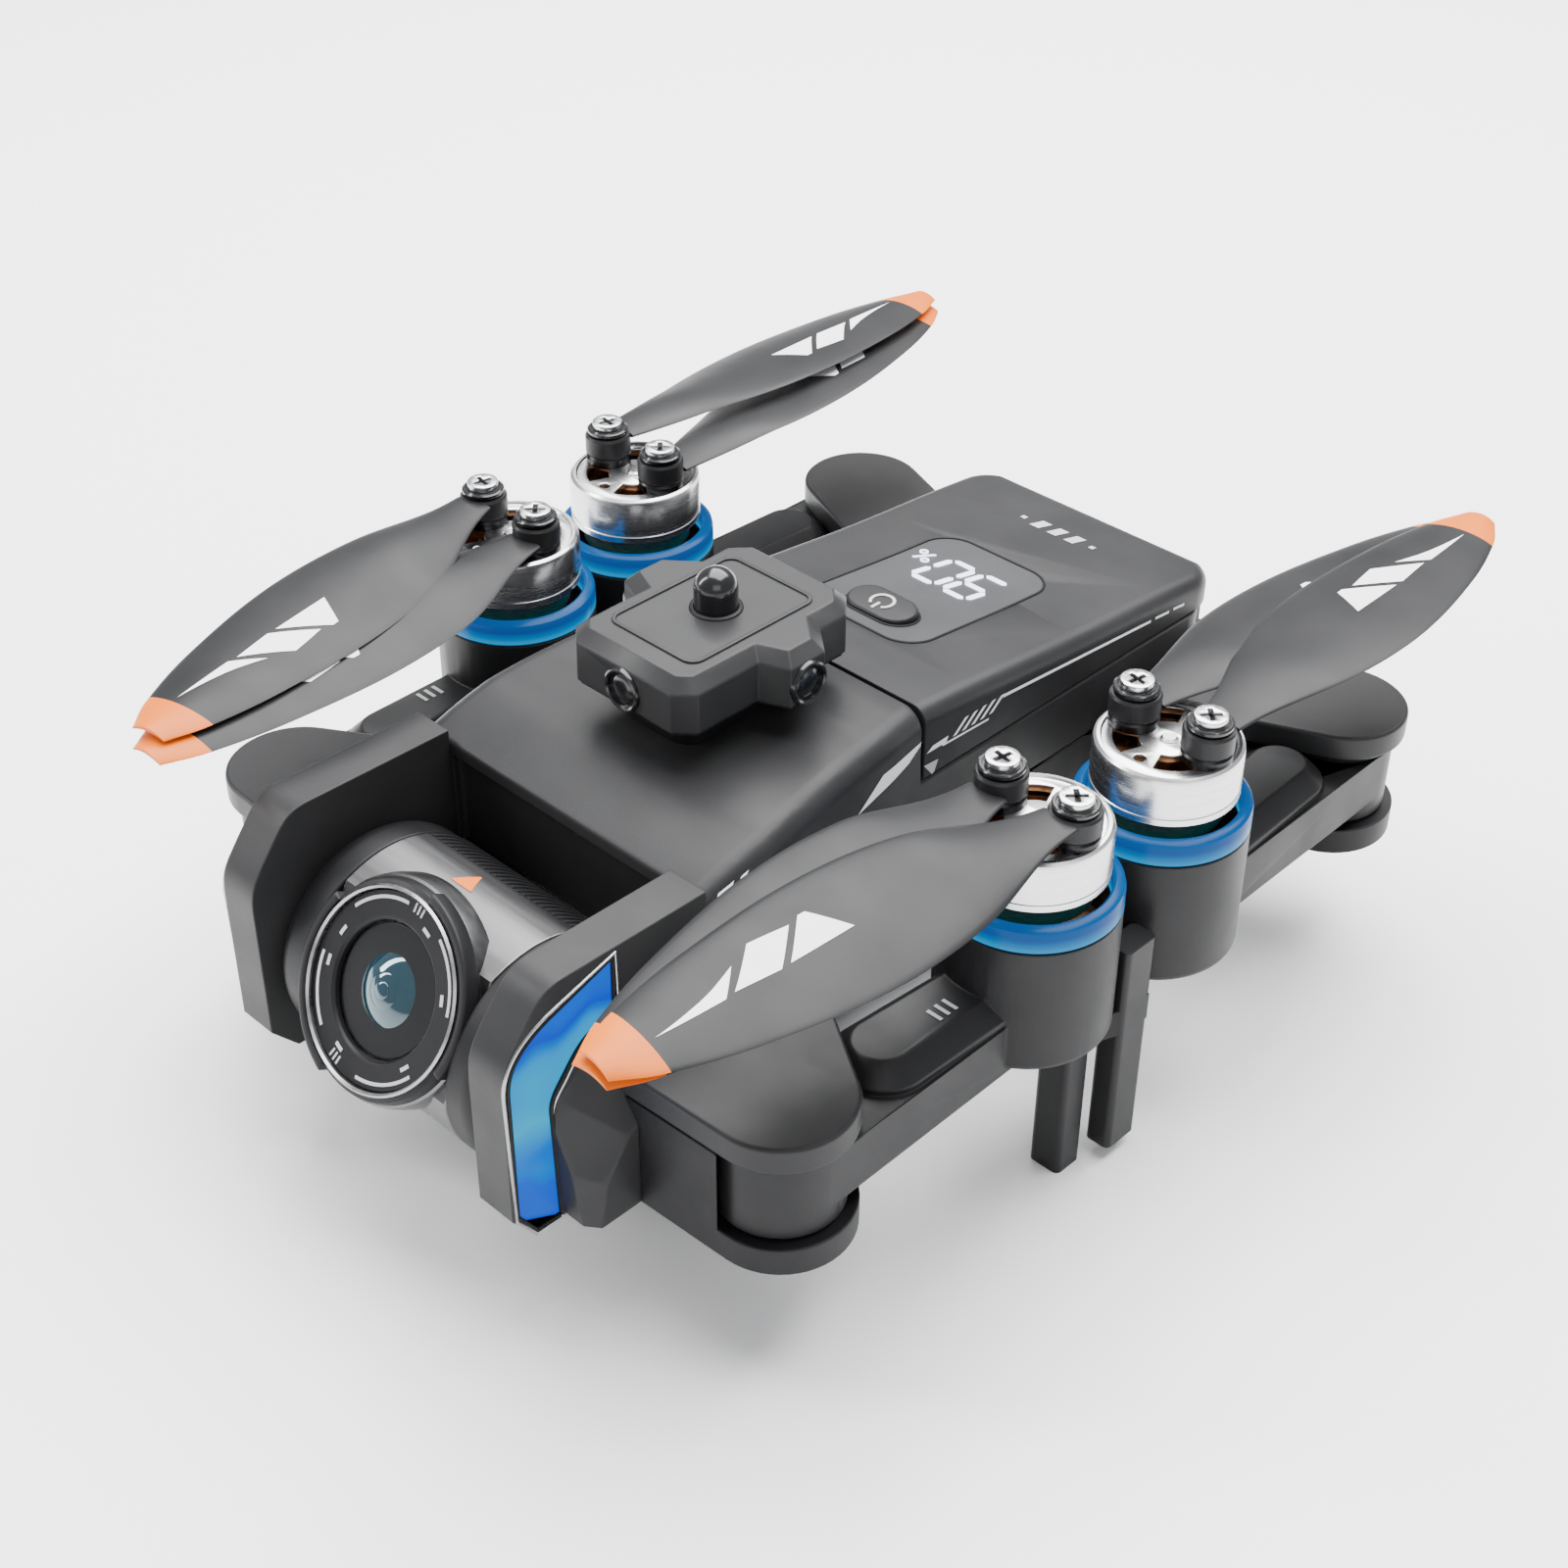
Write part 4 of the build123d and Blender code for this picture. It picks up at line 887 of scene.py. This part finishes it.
# %% Geometry Nodes: things in a row
def row_tree(name, material):
    """Node group: one mesh repeated along a straight line from a start point."""
    tree = bpy.data.node_groups.new(name, "GeometryNodeTree")
    face = tree.interface
    face.new_socket(name="Geometry", in_out="OUTPUT", socket_type="NodeSocketGeometry")
    for label, kind in (("Item", "NodeSocketObject"), ("Count", "NodeSocketInt"),
                        ("Start", "NodeSocketVector"),
                        ("Step", "NodeSocketVector")):
        face.new_socket(name=label, in_out="INPUT", socket_type=kind)
    nodes, links = tree.nodes, tree.links
    given = nodes.new("NodeGroupInput")
    line = nodes.new("GeometryNodeMeshLine")
    line.mode = "OFFSET"
    links.new(given.outputs["Count"], line.inputs["Count"])
    links.new(given.outputs["Start"], line.inputs["Start Location"])
    links.new(given.outputs["Step"], line.inputs["Offset"])
    item = nodes.new("GeometryNodeObjectInfo")
    links.new(given.outputs["Item"], item.inputs["Object"])
    place = nodes.new("GeometryNodeInstanceOnPoints")
    links.new(line.outputs["Mesh"], place.inputs["Points"])
    links.new(item.outputs["Geometry"], place.inputs["Instance"])
    realize = nodes.new("GeometryNodeRealizeInstances")
    links.new(place.outputs["Instances"], realize.inputs["Geometry"])
    colour = nodes.new("GeometryNodeSetMaterial")
    colour.inputs["Material"].default_value = material
    links.new(realize.outputs["Geometry"], colour.inputs["Geometry"])
    done = nodes.new("NodeGroupOutput")
    links.new(colour.outputs["Geometry"], done.inputs["Geometry"])
    return tree


def row_of(name, tree, item, count, start, step):
    """Runs a row tree and bakes it to a plain mesh object."""
    host = bpy.data.objects.new(name + "_host", bpy.data.meshes.new(name + "_host"))
    bpy.context.collection.objects.link(host)
    modifier = host.modifiers.new("row", "NODES")
    modifier.node_group = tree
    values = {"Item": item, "Count": count, "Start": tuple(c * MM for c in start),
              "Step": tuple(c * MM for c in step)}
    for socket in tree.interface.items_tree:
        if socket.in_out == "INPUT" and socket.name in values:
            modifier[socket.identifier] = values[socket.name]
    host.update_tag()
    mesh = bpy.data.meshes.new_from_object(host.evaluated_get(bpy.context.evaluated_depsgraph_get()))
    mesh.name = name
    host.modifiers.remove(modifier)
    bpy.data.objects.remove(host)
    piece = bpy.data.objects.new(name, mesh)
    bpy.context.collection.objects.link(piece)
    return piece


rib_tree = row_tree("row_of_ribs", arm_black)
rib_arc = [(0, CAMERA_AXIS[0] + BARREL_RADIUS * cos(radians(a)),
            CAMERA_AXIS[1] + BARREL_RADIUS * sin(radians(a)))
           for a in range(30, 67, 4)]
rib = tube("one_rib", rib_arc, 0.22)
ribs = row_of("drum_ribs", rib_tree, rib, 25, (-12.0, 0, 0), (1.0, 0, 0))
finish_piece(ribs, "camera", arm_black)
bpy.data.objects.remove(rib)
print("ribs:", len(ribs.data.polygons))


# %% [markdown]
# ## Paint that follows a surface
# The white and orange graphics are printed on curved plastic. Each one starts as a flat grid,
# and every point of it is then cast onto the part below and lifted by a hair, so that the
# mark hugs the surface. The grey ticks on the front arms are laid the same way; their light
# grey is a painted highlight that stands for light on embossed ticks.

# %% Cast marks onto parts
surface_trees = {}


def surface_of(node):
    """Search tree of a CAD node's surface."""
    if node not in surface_trees:
        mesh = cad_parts[node].data
        surface_trees[node] = BVHTree.FromPolygons([v.co for v in mesh.vertices],
                                                   [p.vertices for p in mesh.polygons])
    return surface_trees[node]


def cast_patch(outlines, nodes, along, to_space, steps=(10, 4), lift=0.06):
    """Quads cast along a direction onto nodes; to_space turns a mark's (a, b) into a start point."""
    points, faces = [], []
    direction = Vector(along)
    for a, b, c, d in outlines:
        base, hits = len(points), []
        for i in range(steps[0] + 1):
            s = i / steps[0]
            left = [a[n] + (d[n] - a[n]) * s for n in (0, 1)]
            right = [b[n] + (c[n] - b[n]) * s for n in (0, 1)]
            for k in range(steps[1] + 1):
                t = k / steps[1]
                spot = Vector(to_space(*[left[n] + (right[n] - left[n]) * t for n in (0, 1)])) * MM
                best = None
                for node in nodes:
                    hit = surface_of(node).ray_cast(spot, direction)
                    if hit[0] is not None and (best is None or hit[3] < best[3]):
                        best = hit
                hits.append(best is not None)
                place = spot if best is None else best[0] + best[1] * lift * MM
                points.append(tuple(place / MM))
        for i in range(steps[0]):
            for k in range(steps[1]):
                q = i * (steps[1] + 1) + k
                corners = (q, q + 1, q + steps[1] + 2, q + steps[1] + 1)
                if all(hits[n] for n in corners):
                    faces.append(tuple(base + n for n in corners))
    return points, faces


def painted(name, outlines, nodes, along, to_space, body, slot, material, **how):
    """Printed mark on one body; the arm ticks laid with it are a painted highlight."""
    points, faces = cast_patch(outlines, nodes, along, to_space, **how)
    piece = mesh_from(name, points, faces)
    if faces:
        if piece.data.polygons[0].normal.dot(Vector(along)) > 0:
            piece.data.flip_normals()
    used = bmesh.new()
    used.from_mesh(piece.data)
    loose = [v for v in used.verts if not v.link_faces]
    bmesh.ops.delete(used, geom=loose, context="VERTS")
    used.to_mesh(piece.data)
    used.free()
    print(name, "faces", len(piece.data.polygons))
    return finish_piece(piece, body, material)


SHOULDER_MARKS = [((-17.0, 43.6), (-12.0, 46.6), (-3.6, 46.6), (-6.5, 45.0)),
                  ((-6.5, 45.0), (-6.0, 45.4), (-4.2, 46.4), (-3.8, 46.2))]
BATTERY_MARKS = [((y, 44.4), (y + 2.2, 46.2), (y + 2.9, 46.2), (y + 0.7, 44.4)) for y in (2.2, 3.9, 5.6, 7.3,
                                                                                          9.0)]
BATTERY_MARKS += [((-1.5, 44.9), (1.4, 45.0), (1.0, 44.2), (-2.6, 44.2)),
                  ((0.4, 43.9), (0.2, 44.2), (9.0, 43.9), (9.0, 43.6)),
                  ((11.6, 45.7), (11.6, 46.15), (42.0, 43.6), (42.0, 43.2)),
                  ((43.0, 43.2), (43.0, 43.6), (46.0, 43.3), (46.0, 42.9)),
                  ((47.0, 42.9), (47.0, 43.3), (49.4, 43.0), (49.4, 42.6))]
CHEEK_MARKS = [((-45.6, 44.0), (-44.0, 46.0), (-46.4, 45.4), (-48.2, 43.2)),
               ((-49.4, 42.4), (-47.4, 44.8), (-49.8, 44.2), (-52.2, 41.4)),
               ((-53.0, 40.2), (-50.8, 43.6), (-54.6, 42.4), (-56.8, 38.4)),
               ((-56.9, 37.4), (-55.2, 39.8), (-57.4, 38.2), (-58.6, 33.6))]
SHELL_SIDE_MARKS = [((-43.0, 44.4), (-41.2, 46.2), (-38.8, 46.8), (-41.0, 44.9)),
                    ((-39.8, 45.2), (-37.8, 46.9), (-36.6, 47.2), (-38.6, 45.6))]
for side_name, side in (("left", 1), ("right", -1)):
    across = (-side, 0, 0)
    beside = lambda y, z, s=side: (s * 60, y, z)
    painted(f"shoulder_graphic_{side_name}", SHOULDER_MARKS, ["upper_shell"], across, beside, "fuselage",
            "dark_shell",
            paint_white)
    painted(f"shell_dashes_{side_name}", SHELL_SIDE_MARKS, ["upper_shell"], across, beside, "fuselage",
            "dark_shell",
            paint_white)
    painted(f"battery_stripe_{side_name}", BATTERY_MARKS, ["battery_case"], across, beside, "battery",
            "dark_shell",
            paint_white)
    painted(f"cheek_graphic_{side_name}", CHEEK_MARKS, [f"nose_fairing_{side_name}"], across, beside,
            "fuselage",
            "dark_shell", paint_white)
    pointer = [((-3.0, 42.6), (-0.4, 42.4), (-0.4, 42.3), (-1.2, 40.4))]
    painted(f"small_pointer_{side_name}", pointer, ["battery_case"], across, beside, "battery", "dark_shell",
            paint_grey)
    # Painted highlight: light grey bars stand for the light on the arm's embossed ticks.
    ticks = [((side * 44.4, y), (side * 46.6, y), (side * 46.6, y + 0.5), (side * 44.4, y + 0.5))
             for y in (-28.4, -27.1, -25.8)]
    painted(f"arm_ticks_{side_name}", ticks, [f"arm_front_{side_name}"], (0, 0, -1), lambda x, y: (x, y, 60),
            f"arm_front_{side_name}", "dark_shell", paint_grey, steps=(3, 3), lift=0.12)
painted("drum_pointer", [((-3.0, -57.2), (-1.3, -54.2), (-1.1, -54.2), (0.6, -57.2))], ["camera_housing"],
        (0, 0, -1),
        lambda x, y: (x, y, 60), "camera", "barrel_grey", tip_orange, steps=(10, 6))
tail_bars = [((x - 1.1, 47.0), (x + 0.5, 47.0), (x + 1.1, 49.4), (x - 0.5, 49.4)) for x in (-3.0, 0.0, 3.0)]
tail_bars += [((x - 0.4, 47.8), (x + 0.4, 47.8), (x + 0.4, 48.6), (x - 0.4, 48.6)) for x in (-6.0, 6.0)]
painted("tail_bars", tail_bars, ["battery_case"], (0, 0, -1), lambda x, y: (x, y, 60), "battery",
        "dark_shell",
        paint_grey, steps=(4, 4))


# %% [markdown]
# ## Gap lines and painted edge highlights
# A set-in part shows a thin black gap all round it. Beside the cheeks' lights a fine grey
# line is a painted highlight: it stands for the light on the fairing's rounded edge. The CAD
# edge itself is the path: the edges where a part's top meets its side are chained into a
# loop, and a thin line is drawn along it.

# %% Lines along CAD edges
def edge_loops(node, is_top):
    """Closed chains of edges where faces that pass is_top meet faces that don't, in millimetres."""
    work = bmesh.new()
    work.from_mesh(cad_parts[node].data)
    bmesh.ops.remove_doubles(work, verts=work.verts, dist=MERGE_DISTANCE)
    work.normal_update()
    links = {}
    for edge in work.edges:
        if len(edge.link_faces) == 2:
            first, second = [is_top(f) for f in edge.link_faces]
            if first != second:
                a, b = edge.verts[0].index, edge.verts[1].index
                links.setdefault(a, []).append(b)
                links.setdefault(b, []).append(a)
    work.verts.ensure_lookup_table()
    loops, seen = [], set()
    for start in links:
        if start in seen:
            continue
        chain, here, before = [start], start, None
        seen.add(start)
        while True:
            onward = [n for n in links[here] if n != before and n not in seen]
            if not onward:
                break
            before, here = here, onward[0]
            seen.add(here)
            chain.append(here)
        loops.append([tuple(c / MM for c in work.verts[i].co) for i in chain])
    work.free()
    return [loop for loop in loops if len(loop) > 5]


def grown(loop, amount, centre_axes):
    """Loop pushed away from its middle, in the two given axes."""
    middle = [sum(p[n] for p in loop) / len(loop) for n in range(3)]
    out = []
    for p in loop:
        q = list(p)
        reach = sqrt(sum((p[n] - middle[n]) ** 2 for n in centre_axes))
        for n in centre_axes:
            q[n] += (p[n] - middle[n]) / reach * amount
        out.append(tuple(q))
    return out


LIGHT_FACE_X = 25.0             # outer face of the fairings
# The second and third numbers size the grey line beside each light, a painted highlight of the fairing's
# rounded edge.
GAP_RADIUS, EDGE_HIGHLIGHT_RADIUS, EDGE_HIGHLIGHT_REACH, PANEL_GAP_RADIUS = 0.28, 0.24, 0.55, 0.2
for side_name, side in (("left", 1), ("right", -1)):
    outline = max(edge_loops(f"nose_light_{side_name}", lambda f: f.normal.x * side > 0.9), key=len)
    flush = [(side * LIGHT_FACE_X, y, z) for x, y, z in outline]
    finish_piece(tube(f"light_gap_{side_name}", flush, GAP_RADIUS, closed=True), "fuselage",
                 groove_black)
    # Painted highlight: a grey line just outside each light stands for light on the fairing's rounded edge.
    finish_piece(tube(f"light_rim_{side_name}", grown(flush, EDGE_HIGHLIGHT_REACH, (1, 2)), EDGE_HIGHLIGHT_RADIUS, closed=True),
                 "fuselage", rim_grey)
    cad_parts[f"nose_light_{side_name}"].data.materials.clear()
    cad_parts[f"nose_light_{side_name}"].data.materials.append(nose_blue)
panel_lines = edge_loops("display_panel", lambda f: f.normal.z > 0.8)
panel_gaps = [tube(f"panel_gap_{i}", loop, PANEL_GAP_RADIUS, closed=True) for i, loop in enumerate(panel_lines)]
finish_piece(join("panel_gaps", panel_gaps), "battery", groove_black)
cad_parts["display_panel"].data.materials.clear()
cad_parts["display_panel"].data.materials.append(panel_grey)
print("gap lines:", len(panel_lines))


# %% [markdown]
# ## The battery's display and its button
# The lit figure is a generic seven-segment read-out of the charge. Each segment is a small
# six-sided plate with emission. The figure faces the tail, so it is laid out in its own flat
# frame, turned half round and tipped to the battery's slope.

# %% Display
BATTERY_LINE = [(-3.4, 50.7), (12.0, 49.3), (27.0, 47.6), (44.0, 46.2), (57.0, 44.8)]
DIGIT_Y, DIGIT_HEIGHT, DIGIT_WIDTH = 26.6, 7.6, 4.0


def on_battery(x, y, lift):
    """Matrix that lays a flat figure on the battery's top, facing the tail."""
    slope = (half_chord(BATTERY_LINE, y + 1) - half_chord(BATTERY_LINE, y - 1)) / 2
    right = Vector((-1, 0, 0))
    up = Vector((0, -1, -slope)).normalized()
    out = right.cross(up)
    turned = Matrix((right, up, out)).transposed().to_4x4()
    return Matrix.Translation((x * MM, y * MM, (half_chord(BATTERY_LINE, y) + lift) * MM)) @ turned


def segment(a, b, half=0.42, gap=0.28, slant=0.14):
    """Six-sided bar between two points of a digit."""
    (ax, ay), (bx, by) = a, b
    length = sqrt((bx - ax) ** 2 + (by - ay) ** 2)
    dx, dy = (bx - ax) / length, (by - ay) / length
    ax, ay, bx, by = ax + dx * gap, ay + dy * gap, bx - dx * gap, by - dy * gap
    sx, sy = -dy * half, dx * half
    loop = [(ax, ay), (ax + dx * half + sx, ay + dy * half + sy), (bx - dx * half + sx, by - dy * half + sy),
            (bx, by),
            (bx - dx * half - sx, by - dy * half - sy), (ax + dx * half - sx, ay + dy * half - sy)]
    return [(x + y * slant, y) for x, y in loop]


w, h = DIGIT_WIDTH / 2, DIGIT_HEIGHT / 2
SEGMENTS = {"top": ((-w, h), (w, h)), "upper_left": ((-w, 0), (-w, h)), "upper_right": ((w, 0), (w, h)),
            "middle": ((-w, 0), (w, 0)), "lower_left": ((-w, -h), (-w, 0)), "lower_right": ((w, -h), (w, 0)),
            "bottom": ((-w, -h), (w, -h))}
DIGITS = [(3.4, ["top", "upper_left", "upper_right", "middle", "lower_right", "bottom"]),
          (-2.1, ["top", "upper_left", "upper_right", "lower_left", "lower_right", "bottom"])]
lit = []
for x, names in DIGITS:
    for name in names:
        lit.append(plate(f"segment_{name}", [segment(*SEGMENTS[name])], 0, 0.12,
                         place=on_battery(x, DIGIT_Y, 0.03)))
percent_place = on_battery(-6.9, DIGIT_Y + 1.6, 0.03)
for spot in ((-0.85, 0.9), (0.85, -0.9)):
    lit.append(plate("percent_ring", [ring_points(0.62, 20, spot), ring_points(0.36, 20, spot)], 0, 0.12,
                     place=percent_place))
lit.append(plate("percent_bar", [[(-0.95, -1.4), (-0.65, -1.4), (0.95, 1.4), (0.65, 1.4)]], 0, 0.12,
                 place=percent_place))
finish_piece(join("charge_figure", lit), "battery", digit_white)

softened("power_button", "button", arm_black, 0.25)
button_place = Matrix.Translation((0, 12.2 * MM, 50.3 * MM)) @ Matrix.Rotation(pi, 4, "Z")
# The symbol is raised like the real emboss; its light grey is a painted highlight of the light on its edges.
symbol = [plate("power_arc", [arc_band(1.35, 1.75, radians(125), radians(290), 40)], 0, 0.14,
                place=button_place),
          plate("power_bar", [[(-0.2, 0.5), (0.2, 0.5), (0.2, 2.1), (-0.2, 2.1)]], 0, 0.14,
                place=button_place)]
finish_piece(join("power_symbol", symbol), "button", paint_grey)
print("display lit")


# %% [markdown]
# ## The sensor turret
# The turret on the deck looks forward and to both sides. Its eyes are dark domes in glossy
# rings, and a small glossy dome stands on its top, inside a shallow raised frame.

# %% Turret details
DOME_PLACE = (0.0, -17.4)
dome_profile = [(0, 60.8), (2.68, 60.8), (2.68, 64.9)]
dome_profile += [(2.68 * cos(pi / 2 * k / 12), 65.1 + 2.65 * sin(pi / 2 * k / 12)) for k in range(13)]
finish_piece(lathe("turret_dome", dome_profile, DOME_PLACE, steps=64), "fuselage", gloss_black,
             ["module_dome"])
foot = lathe("turret_dome_foot",
             [(2.72, 62.3), (3.3, 62.3), (3.2, 62.6), (2.85, 62.75), (2.72, 62.7), (2.72, 62.3)],
             DOME_PLACE, steps=64)
finish_piece(foot, "fuselage", under_black)


def round_frame(half_x, low_y, high_y, radius):
    """Outline of a rectangle with round corners."""
    loop = []
    for cx, cy, start in ((half_x - radius, high_y - radius, 0), (radius - half_x, high_y - radius, 90),
                          (radius - half_x, low_y + radius, 180), (half_x - radius, low_y + radius, 270)):
        loop += ring_points(radius, 8, (cx, cy), radians(start), pi / 2)
    return loop


frame_line = plate("turret_frame", [round_frame(7.4, -28.4, -7.6, 1.8), round_frame(6.9, -27.9, -8.1, 1.4)],
                   62.35, 0.3,
                   bevel=0.1)
finish_piece(frame_line, "fuselage", cover_grey)
EYES = [((0.0, -32.6, 57.9), (0, -1, 0)), ((14.2, -16.4, 57.9), (1, 0, 0)),
        ((-14.2, -16.4, 57.9), (-1, 0, 0))]
rings, domes = [], []
for spot, out in EYES:
    turned = Vector((0, 0, 1)).rotation_difference(Vector(out)).to_matrix().to_4x4()
    place = Matrix.Translation(tuple(c * MM for c in spot)) @ turned
    eye_ring = lathe("eye_ring",
                     [(2.2, -0.4), (2.25, 0.35), (2.5, 0.5), (2.75, 0.4), (2.9, 0.0), (2.9, -0.4),
                      (2.2, -0.4)],
                     steps=48)
    eye_dome = lathe("eye_dome", [(0, -0.6), (2.2, -0.6), (2.2, -0.2)]
                     + [(2.0 * cos(pi / 2 * k / 8), -0.2 + 0.5 * sin(pi / 2 * k / 8)) for k in range(9)],
                     steps=48)
    for part, group in ((eye_ring, rings), (eye_dome, domes)):
        part.data.transform(place)
        group.append(part)
finish_piece(join("eye_rings", rings), "fuselage", gloss_black)
finish_piece(join("eye_domes", domes), "fuselage", gloss_black)
print("turret dressed")


# %% [markdown]
# ## Stage, light and camera
# The drone stands on a pale floor under large soft lights. The strongest is overhead and
# behind, which lightens the tops and leaves the sides dark, and a strip at the left draws
# the bright line along the drum and the bells.

# %% Stage
def soft_light(name, place, size, power, target=(0, 0, 0.03), tint=(1, 1, 1)):
    """Area light that looks at a point."""
    light = bpy.data.lights.new(name, "AREA")
    light.shape = "RECTANGLE"
    light.size, light.size_y = size
    light.energy = power
    light.color = tint
    lamp = bpy.data.objects.new(name, light)
    lamp.location = place
    lamp.rotation_euler = (Vector(target) - Vector(place)).to_track_quat("-Z", "Y").to_euler()
    bpy.context.collection.objects.link(lamp)
    return lamp


floor = mesh_from("floor", [(-3000, -3000, 0), (3000, -3000, 0), (3000, 3000, 0), (-3000, 3000, 0)],
                  [(0, 1, 2, 3)])
floor_white, floor_tree, floor_shader = new_material("floor_white")
floor_shader.inputs["Base Color"].default_value = (0.97, 0.97, 0.97, 1)
floor_shader.inputs["Roughness"].default_value = 0.7
floor.data.materials.append(floor_white)
soft_light("overhead", (-0.10, 0.25, 0.75), (0.9, 0.9), 34)
soft_light("front_fill", (0.6, -0.5, 0.5), (0.6, 0.4), 1.8)
soft_light("left_strip", (-0.6, -0.45, 0.5), (0.12, 0.7), 7.0)
world = bpy.data.worlds.new("studio")
world.use_nodes = True
world.node_tree.nodes["Background"].inputs["Color"].default_value = (0.95, 0.97, 1.0, 1)
world.node_tree.nodes["Background"].inputs["Strength"].default_value = 0.6
bpy.context.scene.world = world

# %% Camera
eye_place = (0.17636, -0.18736, 0.21321)
eye_right = Vector((0.71502, 0.69908, 0.00486))
eye_up = Vector((-0.41173, 0.41547, 0.81109))
camera_data = bpy.data.cameras.new("camera")
camera_data.sensor_width = 36.0
camera_data.lens = 55.69
camera_data.clip_start = 0.01
camera_data.clip_end = 20.0
camera = bpy.data.objects.new("camera", camera_data)
eye_back = eye_right.cross(eye_up)
camera.matrix_world = Matrix.Translation(eye_place) @ Matrix((eye_right, eye_up,
                                                              eye_back)).transposed().to_4x4()
bpy.context.collection.objects.link(camera)
bpy.context.scene.camera = camera
